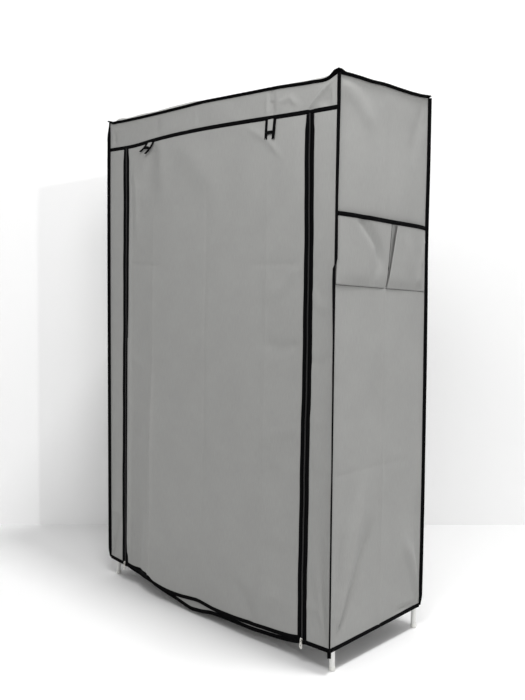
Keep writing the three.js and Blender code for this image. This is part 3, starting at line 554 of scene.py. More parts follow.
# Door: one loose sheet between the zips, creased where it was folded for packing
doorLook = {
    "columns": 190, "rows": 200, "edge": 402, "rise": 1470, "heldEdge": 397.4, "heldHem": 397, "relief": 1.9,
    "slack": (420, 1.8, 4), "fineSlack": (150, 0.45, 9),  # size, height and seed of the waves
    "swell": 10, "swellAt": 389, "swellWidth": 8.5,
    "folds": [
        ("crease", 9, 1.5, 1, (-257, 1500), (-258, 900), (-256, 60)),
        ("held crease", 22, 3.6, 1, (-258, 30), (-256, 300), (-256, 900)),
        ("held crease", 6, 1.5, 1, (-257, 30), (-255, 300), (-256, 900)),
        ("crease", 6, -1.3, 1, (0, 1560), (1, 700), (0, 100)),
        ("crease", 7, 1.1, 1, (257, 1560), (256, 700), (257, 0)),
        ("held crease", 6, -1.7, 1, (-400, 1122), (-330, 1121), (-150, 1118)),
        ("held crease", 6, -1.6, 1, (400, 1120), (330, 1121), (150, 1119)),
        ("held crease", 6, -1.0, 1, (-400, 547), (-330, 545), (-150, 543)),
        ("held crease", 6, 1.0, 1, (400, 546), (330, 545), (150, 544)),
        ("held crease", 9, 3.4, 1, (150, 1532), (215, 1497), (262, 1470), (330, 1400)),
        ("roll", 45, 3.0, 1, (-200, 1536), (-60, 1440), (90, 1300)),
        ("held roll", 24, -6.2, 2.2, (-262, 1530), (-275, 1460), (-300, 1330)),
        ("held roll", 22, 2.5, 2.0, (-225, 1530), (-222, 1430), (-215, 1300)),
        ("roll", 16, 2.4, 1, (-398, 1500), (-360, 1380), (-352, 1180)),
        ("held roll", 12, 3.2, 2.5, (392, 1120), (330, 1060), (240, 1010)),
        ("held roll", 12, -2.8, 2.5, (394, 900), (320, 880), (210, 890)),
        ("held roll", 13, 2.6, 2.5, (392, 660), (320, 640), (230, 610)),
        ("held roll", 16, -2.2, 2.6, (396, 330), (330, 300), (200, 285)),
        ("held roll", 18, 2.2, 2.2, (398, 150), (330, 165), (200, 150)),
        ("held roll", 12, 1.4, 2, (-396, 800), (-350, 790), (-290, 770)),
        ("held roll", 16, 3.0, 2.2, (234, 66), (262, 120), (330, 210)),
        ("held roll", 18, -2.4, 2.2, (234, 66), (180, 130), (90, 190)),
        ("held roll", 20, -3.0, 1.6, (-330, 60), (-318, 200), (-300, 420)),
    ],
}


def doorSurface(x, z):
    lift = doorLook["relief"] * foldLift(x, z, doorLook["folds"])
    lift += slack(x, z, *doorLook["slack"]) + slack(x, z * 0.6, *doorLook["fineSlack"])
    held = freed(cover["doorEdge"] - np.abs(x), 30, 0.12) * underHeader(x, z)
    # the loose cloth swells past the left zip, lower down
    beside = np.exp(-((x + doorLook["swellAt"]) / doorLook["swellWidth"]) ** 2)
    swell = doorLook["swell"] * dropAt(z) ** 1.1 * freed(z - 80, 70, 0) * beside
    return -restOnFrame(x, z, lift * held + swell - frontDepth(x, z))


def doorPlace(u, v):
    x = u * doorLook["edge"]
    hem, edge = doorLook["heldHem"], doorLook["heldEdge"]
    z = between(doorHemHeight(np.clip(x, -hem, hem)), headerHeight(x), v)
    return x, doorSurface(np.clip(x, -edge, edge), z), z


clothPiece("door_cloth", np.linspace(-1, 1, doorLook["columns"]), np.linspace(0, 1, doorLook["rows"]),
           doorPlace, (doorLook["edge"], doorLook["rise"]))

# Fixed panels of the front, from the zips to the corners
stripLook = {
    "inner": 428, "outer": 507.2, "width": 80, "rise": 1465, "relief": 1.9, "slack": (260, 0.9), "seed": 12,
    "rightFolds": [
        ("held roll", 9, 3.4, 2.2, (505, 76), (478, 190), (455, 330)),
        ("held roll", 7, -3.0, 2.4, (505, 76), (492, 200), (486, 420)),
        ("held roll", 16, 2.6, 1, (432, 176), (470, 168), (504, 150)),
        ("held crease", 6, -1.0, 1, (432, 545), (470, 544), (506, 543)),
        ("held crease", 6, -1.0, 1, (432, 1120), (470, 1120), (506, 1120)),
        ("held roll", 14, 1.6, 1, (432, 1040), (460, 1010), (500, 1000)),
        ("held roll", 14, -1.4, 1, (432, 860), (465, 850), (505, 880)),
        ("held roll", 16, 1.3, 1, (432, 700), (465, 690), (505, 700)),
    ],
    "leftFolds": [
        ("held roll", 14, -4.2, 1.8, (-505, 76), (-480, 150), (-450, 260)),
        ("roll", 14, 2.4, 1, (-505, 260), (-470, 240), (-434, 250)),
        ("held crease", 6, -1.0, 1, (-434, 1120), (-470, 1120), (-506, 1120)),
        ("held roll", 16, -1.4, 1, (-434, 760), (-470, 750), (-506, 770)),
    ],
}
for side, sign in bothSides:

    def stripPlace(u, v):
        x = sign * between(stripLook["inner"], stripLook["outer"], u)
        z = between(cover["hem"] + 0 * x, headerHeight(x), v)
        lift = liftOf(stripLook, x, z, stripLook["seed"] + sign, folds=stripLook[side + "Folds"])
        held = freed(u * stripLook["width"], 12, 0.1) * freed((1 - u) * stripLook["width"], 10, 0.05)
        held = held * underHeader(x, z) * freed(z - cover["hem"] - 5, 40, 0.1)
        edge = np.clip(np.abs(x), cover["stripEdge"], None) * sign
        return x, -restOnFrame(x, z, lift * held - frontDepth(edge, z)), z

    clothPiece(f"front_{side}_cloth", np.linspace(0, 1, 18), np.linspace(0, 1, 170), stripPlace,
               (stripLook["width"], stripLook["rise"]), turned=sign < 0)

headerLook = {
    "half": 507.2, "run": (507, 94), "relief": 1.8, "slack": (130, 0.9, 21),
    "folds": [
        ("held crease", 7, 5.4, 1, (503, 1612), (470, 1585), (415, 1542), (395, 1530)),
        ("held roll", 16, -4.0, 1, (506, 1596), (480, 1560), (450, 1530)),
        ("held crease", 9, -5.0, 1, (-500, 1606), (-492, 1575), (-470, 1530)),
        ("held crease", 3.5, 2.0, 1, (253, 1620), (253, 1570), (253, 1528)),
        ("held crease", 3.5, 1.5, 1, (290, 1620), (290, 1570), (290, 1528)),
        ("held roll", 11, -3.2, 1, (271, 1620), (271, 1570), (271, 1528)),
        ("roll", 9, 2.4, 1, (285, 1535), (305, 1572), (340, 1580), (380, 1545)),
        ("roll", 12, -1.4, 1, (-250, 1535), (-245, 1575), (-235, 1610)),
        ("roll", 9, 1.0, 1, (-60, 1615), (-55, 1580), (-62, 1535)),
        ("held crease", 5, -0.8, 1, (0, 1618), (0, 1570), (0, 1530)),
    ],
}


def headerPlace(u, v):
    x = u * headerLook["half"]
    z = between(headerHeight(x), topHeight(x, -clothY + 0 * x) - 1, v)
    lift = liftOf(headerLook, x, z)
    held = freed(np.minimum(v, 1 - v) * headerLook["run"][1], 14, 0.08)
    held = held * freed(headerLook["half"] - np.abs(x), 12, 0.1)
    return x, -restOnFrame(x, z, clothY + lift * held), z


clothPiece("front_header_cloth", np.linspace(-1, 1, 200), np.linspace(0, 1, 24), headerPlace,
           headerLook["run"])


# Sill: the cloth that shows under the door's hem, on the sagging hem tape
lensLine = [[-0.82, 0], [-0.62, 0.12], [-0.54, 0.3], [-0.39, 0.7], [-0.255, 0.95], [-0.124, 1], [0.08, 0.8],
            [0.385, 0.7], [0.61, 0.6], [0.74, 0.4], [0.9, 0]]


def sillPlace(u, v):
    x = u * cover["stripEdge"]
    y, low = hemPlace(x)
    lean = straight(lensLine, u)
    return x, y + 1.5 * v, low + v * (8 + 34 * lean)


clothPiece("front_sill_cloth", np.linspace(-0.82, 0.9, 130), np.linspace(0, 1, 8), sillPlace, (430, 30))

# Sides: the front edge follows the flare of the corner, and folds run up from the lower corners
sideLook = {
    "relief": 2.2, "slack": (300, 1.2), "seed": 30, "run": (215, 1545),
    "rise": 1540,  # height and half depth, for the ramps at the held edges
    "half": 208,
    "backSwell": [[66, 0], [300, 3.2], [600, 4.5], [1000, 3.2], [1200, 1], [1400, 5], [1600, 6.5]],
    "folds": [
        ("crease", 6, 1.2, 1, (0, 1650), (1, 800), (0, 30)),
        ("held roll", 10, 5.5, 3.0, (-212, 72), (-150, 260), (-70, 560)),
        ("held roll", 9, -3.6, 2.6, (-212, 72), (-185, 240), (-165, 420)),
        ("held roll", 11, -5.0, 2.6, (-212, 72), (-110, 230), (-20, 420)),
        ("held roll", 9, 4.6, 2.4, (208, 80), (170, 210), (110, 330)),
        ("held crease", 5, 1.7, 1, (0, 66), (2, 260), (1, 640)),
        ("held roll", 9, -2.6, 2.2, (208, 80), (190, 260), (180, 460)),
        ("held roll", 6, -4.2, 1, (204, 82), (140, 84), (70, 96)),
        ("held crease", 5, -0.8, 1, (-215, 545), (0, 546), (212, 544)),
        ("held roll", 26, 1.8, 1, (-205, 1600), (-120, 1560), (-30, 1480)),
        ("held roll", 24, -1.6, 1, (205, 1590), (150, 1500), (120, 1400)),
    ],
}


def wallPlace(column, row):
    backY = column * clothY
    z = between(sideHemHeight(backY), topHeight(clothX + 0 * backY, backY) - 1, row)
    y = between(cornerDepth(z), clothY + along(sideLook["backSwell"], z), (column + 1) / 2)
    swell = cover["sideBelly"] * np.sin(np.pi * row) * along(sideSwell, column)
    return clothX + swell, y, z


def sideHold(column, row):
    edge = freed(np.minimum(row, 1 - row) * sideLook["rise"], 25, 0.08)
    return edge * freed((1 - np.abs(column)) * sideLook["half"], 16, 0.08)


for side, sign in bothSides:

    def sidePlace(u, v):
        x, y, z = wallPlace(u, v)
        lift = liftOf(sideLook, y, z, sideLook["seed"] + sign)
        return sign * restOnFrame(y, z, x + lift * sideHold(u, v), sides=True), y, z

    clothPiece(f"{side}_side_cloth", np.linspace(-1, 1, 76), np.linspace(0, 1, 190), sidePlace,
               sideLook["run"], turned=sign < 0)

backLook = {
    "half": 507.2, "run": (507, 1540), "ramp": 508, "slack": (380, 1.6, 41),
    "folds": [
        ("crease", 7, 1.2, 1, (-257, 1650), (-257, 800), (-257, 30)),
        ("crease", 6, -1.1, 1, (0, 1650), (1, 800), (0, 30)),
        ("crease", 7, 1.2, 1, (257, 1650), (256, 800), (257, 30)),
        ("held crease", 5, -0.9, 1, (-508, 545), (0, 546), (508, 544)),
        ("held crease", 5, 0.9, 1, (-508, 1120), (0, 1121), (508, 1119)),
        ("held roll", 12, 4.0, 2.6, (500, 80), (400, 240), (300, 420)),
        ("held roll", 12, 4.0, 2.6, (-500, 80), (-420, 260), (-360, 480)),
        ("held roll", 16, 3.0, 2.4, (-500, 1600), (-380, 1520), (-260, 1400)),
        ("held roll", 16, 2.6, 2.4, (500, 1600), (400, 1500), (330, 1380)),
    ],
}


def backPlace(u, v):
    x = u * backLook["half"]
    z = between(cover["hem"] + cover["hemRise"] + 0 * x, topHeight(x, clothY + 0 * x) - 1, v)
    lift = liftOf(backLook, x, z)
    held = freed(np.minimum(v, 1 - v) * backLook["run"][1], 25, 0.08)
    held = held * freed((1 - np.abs(u)) * backLook["ramp"], 20, 0.08)
    depth = clothY + along(sideLook["backSwell"], z) * u * u + lift * held
    return x, restOnFrame(x, z, depth), z


clothPiece("back_cloth", np.linspace(-1, 1, 150), np.linspace(0, 1, 160), backPlace, backLook["run"],
           turned=True)

# Top: it lies on the frame, and a slack roll rises just behind the front edge in two places
topLook = {
    "roll": [[-1, 0], [-0.975, 0.6], [-0.93, 0.74], [-0.86, 0.75], [-0.77, 0.88], [-0.7, 0.97],
             [-0.5, 0.87], [-0.3, 1], [-0.19, 1], [-0.1, 0.8], [0, 0.45], [0.25, 0.42], [0.41, 0.44],
             [0.5, 0.56], [0.6, 0.6], [0.7, 0.76], [0.84, 0.87], [0.92, 0.8], [0.98, 0.3], [1, 0]],
    "rollRise": 21.5, "rollBehind": 24, "rollWidth": 15, "run": (508, 208), "slack": (200, 1.5, 51),
    "folds": [
        ("held crease", 6, 1.2, 1, (-257, -200), (-257, 0), (-257, 200)),
        ("held crease", 6, -1.2, 1, (0, -200), (0, 0), (0, 200)),
        ("held crease", 6, 1.2, 1, (257, -200), (257, 0), (257, 200)),
        ("held crease", 6, -1.2, 1, (-500, 0), (0, 1), (500, 0)),
        ("held roll", 14, 3.5, 2.2, (480, -190), (380, -110), (250, -60)),
        ("held roll", 14, 3.0, 2.2, (-480, -190), (-380, -120), (-260, -90)),
        ("held roll", 14, 3.0, 2.2, (480, 190), (380, 130), (250, 100)),
        ("roll", 14, 9.0, 1, (470, -60), (492, -20), (470, 30)),
    ],
}


def topPlace(u, v):
    x, y = u * clothX, v * clothY
    behind = y + clothY
    z = topHeight(x, y)
    crest = topHeight(x, 0 * y - clothY) + topLook["rollRise"] * along(topLook["roll"], u) - z
    roll = np.maximum(crest, 0) * np.exp(-((behind - topLook["rollBehind"]) / topLook["rollWidth"]) ** 2)
    lift = liftOf(topLook, x, y)
    held = freed((1 - np.abs(u)) * topLook["run"][0], 20, 0)
    held = held * freed((1 - np.abs(v)) * topLook["run"][1], 16, 0)
    return x, y, z + (lift + roll) * held


clothPiece("top_cloth", np.linspace(-1, 1, 160), np.linspace(-1, 1, 80), topPlace, topLook["run"])
print("cover panels made")

# Bindings: tape folded over an edge and stitched through, drawn with a groove along each stitched row
bindingLook = {
    "half": 6.2, "middle": -0.5, "thick": 1.3, "finReach": 10.2, "finThick": 1.7, "topReach": 8.6,
    "stackRise": 0.7, "stackReach": 18,  # the layers of tape stack up at the near corner
    "wobble": ((3, 21), (2, 47)),  # degrees of turn, and how fast they come and go
    # degrees by height: the near corner's binding lies over to the side higher up, and turns over
    "lean": {"front_right": [[66, -14], [900, -14], [985, -34], [1075, -44], [1112, -38], [1128, 28],
                             [1300, 26], [1450, 32], [1600, 38]],
             "front_left": [[66, 6], [1600, 4]], "back_left": [[66, -6], [1600, -4]],
             "back_right": [[66, 4], [1600, 2]]},
    # how far each stands out, by height, as a share
    "stand": {"front_right": [[66, 1], [1620, 1]],
              "front_left": [[66, 0.5], [95, 1], [1570, 1], [1612, 0.35]],
              "back_left": [[66, 0.5], [95, 1], [1612, 1]], "back_right": [[66, 0.4], [100, 1], [1612, 1]]},
}
flatTape = [[-1, 0.3], [-0.97, 0.75], [-0.9, 1], [-0.74, 1], [-0.68, 0.8], [-0.6, 1.02], [0, 1.1],
            [0.6, 1.02], [0.68, 0.8], [0.74, 1], [0.9, 1], [0.97, 0.75], [1, 0.3], [1, -0.4], [0.9, -1],
            [-0.9, -1], [-1, -0.4]]
flatTape = [[bindingLook["middle"] + a * bindingLook["thick"], b * bindingLook["half"]] for b, a in flatTape]


def finShape(reach, lean=0.0):
    half = [[-0.12, 0.9], [0.1, 1], [0.22, 1], [0.3, 0.76], [0.38, 1], [0.8, 1.1], [0.95, 0.75], [1.0, 0]]
    half = [[a * reach, b * bindingLook["finThick"]] for a, b in half]
    c, s = math.cos(lean), math.sin(lean)
    return [[a * c - b * s, a * s + b * c] for a, b in half + [[a, -b] for a, b in half[-2::-1]]]


def tapeAlong(name, stations, section, nodes, body=root, ring=False):
    made = sweptPiece(name, stations, section, body=body, ring=ring)
    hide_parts(*nodes)
    return made


# Once round the cover, anticlockwise from above, with a mitre at each corner
def ringRound(point, steps):
    stations = []
    turnings = ((-1, -1, 1, -1, (0, -1, 0)), (1, -1, 1, 1, (1, 0, 0)), (1, 1, -1, 1, (0, 1, 0)),
                (-1, 1, -1, -1, (-1, 0, 0)))
    for x0, y0, x1, y1, out in turnings:
        count = steps if y0 == y1 else steps // 2
        stations.append((point(x0, y0), (x0, y0, 0), (0, 0, 1)))
        for k in range(1, count):
            share = k / count
            place = point(between(x0, x1, share), between(y0, y1, share))
            stations.append((place, out, (0, 0, 1)))
    return stations


def topPoint(u, v):
    x, y = u * clothX, v * clothY
    z = float(topHeight(np.float64(x), np.float64(y)))
    return x, y + (float(along(sideLook["backSwell"], z)) * u * u if v == 1 else 0), z


def hemPoint(u, v):
    x, y = u * clothX, v * clothY
    if v > -1:
        return x, y, float(sideHemHeight(y))
    if abs(u) == 1:
        return x, float(cornerDepth(cover["hem"])), cover["hem"]
    depth, height = hemPlace(np.float64(x))
    return x, float(depth), float(height)


topStations, topShapes = ringRound(topPoint, 170), []
for at, _, _ in topStations:
    fromCorner = math.hypot(at[0] - clothX, at[1] + clothY)
    stack = 1 + bindingLook["stackRise"] * math.exp(-(fromCorner / bindingLook["stackReach"]) ** 2)
    topShapes.append(finShape(bindingLook["topReach"] * stack, math.pi / 4))
tapeAlong("top_tape", topStations, topShapes, ["top_binding"], ring=True)
tapeAlong("hem_tape", ringRound(hemPoint, 170), flatTape, ["hem_binding"], ring=True)

for corner, signX, signY in corners:
    stations, shapes = [], []
    for row in np.linspace(0, 1, 120):
        _, y, z = spotOn(wallPlace, signY, row)
        away, beside = (signX / 2 ** 0.5, signY / 2 ** 0.5, 0), (-signY / 2 ** 0.5, signX / 2 ** 0.5, 0)
        stations.append(((signX * clothX, y, z), away, beside))
        wave = sum(turn * math.sin(row * pace + sign)
                   for (turn, pace), sign in zip(bindingLook["wobble"], (signX, signY)))
        lean = float(straight(bindingLook["lean"][corner], z)) + wave * math.sin(math.pi * row)
        stand = bindingLook["finReach"] * float(straight(bindingLook["stand"][corner], z))
        shapes.append(finShape(stand, math.radians(lean)))
    tapeAlong(f"{corner}_tape", stations, shapes, [f"{corner}_binding"])

# the end of the corner tape hangs in front of the near leg
tailLook = {"out": 2, "forward": 5, "step": 4.5, "steps": 5, "half": 5.2, "thick": 0.9}
tailStations = []
for k in range(tailLook["steps"]):
    at = (clothX + tailLook["out"], float(cornerDepth(cover["hem"])) - tailLook["forward"],
          cover["hem"] - tailLook["step"] * k)
    tailStations.append((at, (0.75, 0.66, 0), (0.66, -0.75, 0)))
tailShape = [[a * tailLook["half"], b * tailLook["thick"]] for a, b in ((-1, -1), (1, -1), (1, 1), (-1, 1))]
sweptPiece("corner_tape_end", tailStations, tailShape, smooth=False)

headerStations = [((x, -clothY, float(headerHeight(x))), (0, -1, 0), (0, 0, 1))
                  for x in np.linspace(-headerLook["half"], headerLook["half"], 170)]
tapeAlong("header_tape", headerStations, flatTape, ["header_binding"])

doorHemStations, doorTapeHalf = [], 411.2
for x in np.linspace(-doorTapeHalf, doorTapeHalf, 150):
    held = float(np.clip(x, -doorLook["heldEdge"], doorLook["heldEdge"]))
    z = float(doorHemHeight(held))
    at = (x, float(doorSurface(np.float64(held), np.float64(z))), z)
    doorHemStations.append((at, (0, -1, 0), (0, 0, 1)))
tapeAlong("door_hem_tape", doorHemStations, flatTape, ["door_hem_binding"], body="door")
print("bindings made")

# Zips: each half is a tape with a stitched band; the coil stays with the fixed half
zipLook = {
    "pitchMm": 3.0, "bottom": 60,
    # slow and fast waves that the zip wanders in, and the height over which they set in
    "wander": 0.6, "waves": (61, 23), "settle": 120,
    # how far the loose cloth lets each zip bow sideways, by height
    "bow": {"left": [[60, 0], [400, -0.6], [900, 0.5], [1300, 1.0], [1531, 0]],
            "right": [[60, 0], [250, -1.2], [600, 0.4], [850, 2.6], [1100, 3.0], [1300, 1.2], [1450, -0.6],
                      [1531, -1.5]]},
    "gather": [[0, 0.72], [16, 0.8], [40, 1]],  # share of its width, by the way down from the header
    "turnWide": 0.86, "turnTall": 0.72,  # every other station of the coil is this much slimmer
    "endStep": 3, "endSteps": 4, "endShape": [[-7.5, -1.0], [7.5, -1.0], [7.5, 0.0], [-7.5, 0.0]],
}
# the coil's turns are 1.3 mm apart on a real one; they are drawn coarser to show
halfTape = [[2.8, -0.9], [2.8, -0.1], [8.2, -0.1], [8.7, 1.0], [9.6, 1.5], [10.6, 1.25], [11.4, 1.6],
            [13.6, 1.6], [14.4, 1.25], [15.2, 1.5], [16.2, 1.0], [16.6, 0.2], [16.6, -1.0]]
coilShape = [[-2.5, -1.0], [-2.5, 0.6], [-1.9, 1.5], [-0.9, 2.0], [-0.25, 1.5], [0.25, 1.5], [0.9, 2.0],
             [1.9, 1.5], [2.5, 0.6], [2.5, -1.0]]


def zipLine(sign, low, step):
    top = float(headerHeight(sign * cover["zip"])) - 3
    stations, (slow, fast) = [], zipLook["waves"]
    for z in np.arange(low, top, step):
        wave = math.sin(z / slow + sign) + 0.6 * math.sin(z / fast)
        drift = zipLook["wander"] * wave * min(1, (z - low) / zipLook["settle"])
        drift += float(along(zipLook["bow"]["right" if sign > 0 else "left"], z))
        at = (sign * cover["zip"] + drift, float(zipDepth(z)), float(z))
        stations.append((at, (sign, 0, 0), (0, -1, 0)))
    return stations


zipPieces = []
for side, sign in bothSides:
    line = zipLine(sign, zipLook["bottom"], 8)
    # the zip is gathered where it runs in under the header
    gather = [float(straight(zipLook["gather"], line[-1][0][2] - at[2])) for at, _, _ in line]
    fixedHalf, doorHalf = ([[[sense * a * share, b] for a, b in halfTape] for share in gather]
                           for sense in (1, -1))
    tapeAlong(f"zip_fixed_half_{side}", line, fixedHalf, [f"zip_tape_{side}"])
    turns = zipLine(sign, zipLook["bottom"] + 4, zipLook["pitchMm"] / 2)
    slim = [[a * zipLook["turnWide"], b if b < 0 else b * zipLook["turnTall"]] for a, b in coilShape]
    ribs = [coilShape if k % 2 else slim for k in range(len(turns))]
    sweptPiece(f"zip_coil_{side}", turns, ribs, nylonCoil)
    zipPieces.append(sweptPiece(f"zip_door_half_{side}", line, doorHalf))
    ends = []
    for k in range(zipLook["endSteps"]):
        at = (sign * cover["zip"], float(zipDepth(cover["hem"])) + 0.6, cover["hem"] - zipLook["endStep"] * k)
        ends.append((at, (1, 0, 0), (0, -1, 0)))
    sweptPiece(f"zip_tape_end_{side}", ends, zipLook["endShape"], smooth=False)
print("zips made")

# Ties: two bound edges and a bar, with cloth between
tieLook = {
    "half": 21, "edge": 10.5, "thick": 1.6, "bar": 9.5, "taper": 0.1, "bulge": -18, "sag": 1.8,
    "clothThick": 0.7, "columns": 5, "rows": 14,
}
rounded = [[-1, -0.5], [-0.8, -1], [0.8, -1], [1, -0.5], [1, 0.5], [0.8, 1], [-0.8, 1], [-1, 0.5]]


def tiePath(end, share):
    middle = (end[0] / 3, end[1] / 3, tieLook["bulge"])
    return [2 * share * (1 - share) * m + share * share * e for m, e in zip(middle, end)]


tiePieces = []
for side, x, end, twist, barShare in (("left", -281, (-34, -7, -31), 0.34, 0.52),
                                      ("right", 268.5, (0, -6, -56.5), 0.02, 0.75)):
    top = (x, -clothY - 1.2, float(headerHeight(x)) - 4.4)

    def tieStation(share, offset):
        at = tiePath(end, share)
        ahead = np.subtract(tiePath(end, min(share + 0.02, 1.02)), tiePath(end, share - 0.02))
        first = np.array((1, 0, -twist * share))
        first = first / np.linalg.norm(first)
        second = np.cross(ahead / np.linalg.norm(ahead), first)
        second = second / np.linalg.norm(second)
        spot = np.add(top, at) + first * offset * (1 - tieLook["taper"] * share)
        return tuple(spot), tuple(first), tuple(second)

    edgeHalf = tieLook["edge"] / 2
    section = [[a * edgeHalf, b * tieLook["thick"] / 2] for a, b in rounded]
    for which, offset in (("outer", -(tieLook["half"] - edgeHalf)), ("inner", tieLook["half"] - edgeHalf)):
        stations = [tieStation(share, offset) for share in np.linspace(0, 1, 16)]
        tiePieces.append(tapeAlong(f"tie_{which}_edge_{side}", stations, section, [f"tie_strap_{side}"]))
    barAt, barFirst, barSecond = tieStation(barShare, 0)
    barDown = np.cross(barFirst, barSecond)
    barSection = [[a * tieLook["bar"] / 2, b * tieLook["thick"] / 2 + 0.3] for a, b in rounded]
    reach = tieLook["half"] - 5
    barStations = []
    for share in np.linspace(-1, 1, 9):
        bend = tieLook["sag"] * (1 - share * share)
        at = np.add(barAt, np.multiply(barFirst, share * reach))
        at = at - barDown * bend * (1 if barDown[2] < 0 else -1)
        barStations.append((tuple(at), tuple(barDown), tuple(barSecond)))
    tiePieces.append(sweptPiece(f"tie_bar_{side}", barStations, barSection))
    wide, tall = tieLook["columns"], tieLook["rows"]
    across = np.linspace(-1, 1, wide) * (tieLook["half"] - 4)
    points = [tieStation(v, u)[0] for v in np.linspace(0, barShare, tall) for u in across]
    runs = [[c * 8, r * 4] for r in range(tall) for c in range(wide)]
    faces = gridFaces(wide, tall)
    tieCloth = finishMesh(f"tie_cloth_{side}", points, faces, runs, cloth, root)
    thicken(tieCloth, tieLook["clothThick"], 0)
    tiePieces.append(tieCloth)
print("ties made")

# Side pocket: one sheet over two compartments, open at the top, with a narrow slit between them
pocketLook = {
    "top": 1255, "fall": 28, "deep": 188, "puff": 11, "seam": 1.0,
    # each column's place on the panel at the foot and at the mouth, and how full it is
    "columns": [[-0.985, -0.985, 0.1], [-0.93, -0.93, 0.4], [-0.76, -0.76, 0.8], [-0.45, -0.45, 1],
                [-0.12, -0.1, 0.9], [0.036, 0.12, 0.75], [0.06, 0.25, 0.8], [0.12, 0.34, 0.85],
                [0.3, 0.5, 0.95], [0.6, 0.69, 1], [0.85, 0.88, 0.6], [0.975, 0.975, 0.1]],
    # the black tape along the slit is painted shade: it stands in for the shadow inside the open slit
    "slitAfter": 5, "slitShadeTape": 2.4,
    "tuck": (1.2, 0.3, 0.03),  # how much wider the slit's black tape, which paints the shade in the slit, is at the tuck, at what height and over what
    "rows": [[0, 0], [0.12, 0.4], [0.35, 0.65], [0.6, 0.8], [0.82, 0.9], [1, 1]],
    "folds": [
        ("held roll", 14, -5.5, 1, (-112, 1236), (-80, 1205), (-45, 1172), (-26, 1130), (-25, 1085)),
        ("held crease", 5, 10, 1, (194, 1190), (178, 1120), (163, 1030)),
        ("held roll", 14, -1.8, 1, (-60, 1065), (-40, 1120), (-36, 1190)),
        ("roll", 16, 1.8, 1, (90, 1215), (110, 1160), (120, 1080)),
    ],
}


def pocketHeight(column, v):
    return pocketLook["top"] - pocketLook["fall"] * (column + 1) / 2 - pocketLook["deep"] * (1 - v)


def pocketPlace(c, v):
    table = pocketLook["columns"]
    spots = np.arange(len(table))
    low, high, full = (np.interp(c, spots, [row[k] for row in table]) for k in range(3))
    column = between(low, high, v)
    z = pocketHeight(column, v)
    backY = column * clothY
    bottom, ceiling = sideHemHeight(backY), topHeight(clothX + 0 * backY, backY)
    x, y, _ = wallPlace(column, (z - bottom) / (ceiling - bottom))
    puff = pocketLook["puff"] * full * along(pocketLook["rows"], v)
    onWall = foldLift(y, z, sideLook["folds"])
    lift = 1.4 * foldLift(y, z, pocketLook["folds"]) * full + onWall * (1 - full)
    return x + pocketLook["seam"] + cover["cloth"] + puff + lift * np.clip(v * 6, 0, 1), y, z


# the two compartments are open where they meet, and bound together along the top
slit, lastColumn = pocketLook["slitAfter"], len(pocketLook["columns"]) - 1
frontPart, rearPart = np.linspace(0, slit, 30), np.linspace(slit + 1, lastColumn, 30)
clothPiece("side_pocket_cloth", np.concatenate([frontPart, rearPart]), np.linspace(0, 1, 40), pocketPlace,
           (37, 182), openAfter=len(frontPart) - 1)
mouth = [(spotOn(pocketPlace, c, 1), (1, 0, 0), (0, 0, 1)) for c in np.linspace(0, lastColumn, 60)]
tapeAlong("pocket_tape", mouth, flatTape, ["pocket_binding"])
# a narrow black tape along the front compartment's free edge paints the shade inside the slit, wider at a
# tuck low down
slitStations, slitShapes = [], []
wider, tuckAt, tuckOver = pocketLook["tuck"]
for v in np.linspace(0.02, 0.98, 50):
    x, y, z = spotOn(pocketPlace, slit, v)
    slitStations.append(((x - 0.6, y, z), (1, 0, 0), (0, 1, 0)))
    wide = pocketLook["slitShadeTape"] * (1 + wider * math.exp(-((v - tuckAt) / tuckOver) ** 2))
    slitShapes.append([[-1.2, -wide], [0.2, -wide], [0.8, 0], [0.2, wide * 0.6], [-1.2, wide * 0.6]])
# painted shade: this black strip darkens the slit where only shadow falls
sweptPiece("pocket_slit_shade_tape", slitStations, slitShapes)
# the stitched seam along the pocket's foot
seamStations = []
for column in np.linspace(-0.985, 0.985, 60):
    z = pocketHeight(column, 0)
    row = (z - float(sideHemHeight(column * clothY))) / sideLook["rise"]
    x, y, _ = spotOn(wallPlace, column, row)
    seamStations.append(((x + 1.4, y, z - 0.4), (1, 0, 0), (0, 0, 1)))
seamShape = [[-0.9, -0.5], [0.25, -0.5], [0.5, 0], [0.25, 0.5], [-0.9, 0.5]]
sweptPiece("pocket_seam", seamStations, seamShape)
print("pocket made")

# Shelves: cloth with a sleeve round the front and the back tube
shelfLook = {
    "half": 452, "wrap": 9.0, "sag": 5, "run": (452, 459), "slack": (170, 1.1),
    "sleeve": 205, "sleeveStart": -65,  # degrees round the tube
    "folds": [
        ("held crease", 6, -1.6, 1, (0, -190), (1, 190)),
        ("held roll", 18, 2.5, 2, (-440, -150), (-300, -40)),
        ("held roll", 18, 2.5, 2, (440, 150), (320, 30)),
    ],
}


def shelfProfile(share):
    wrap, tube = shelfLook["wrap"], frameLook["y"]
    turn, flat = math.radians(shelfLook["sleeve"]) * wrap, 2 * tube
    run = share * (2 * turn + flat)
    if run < turn:
        angle = math.radians(shelfLook["sleeveStart"]) - run / wrap
        return -tube + wrap * math.cos(angle), wrap * math.sin(angle)
    if run > turn + flat:
        angle = math.radians(90) - (run - turn - flat) / wrap
        return tube + wrap * math.cos(angle), wrap * math.sin(angle)
    across = (run - turn) / flat
    return between(-tube, tube, across), wrap - shelfLook["sag"] * math.sin(math.pi * across)


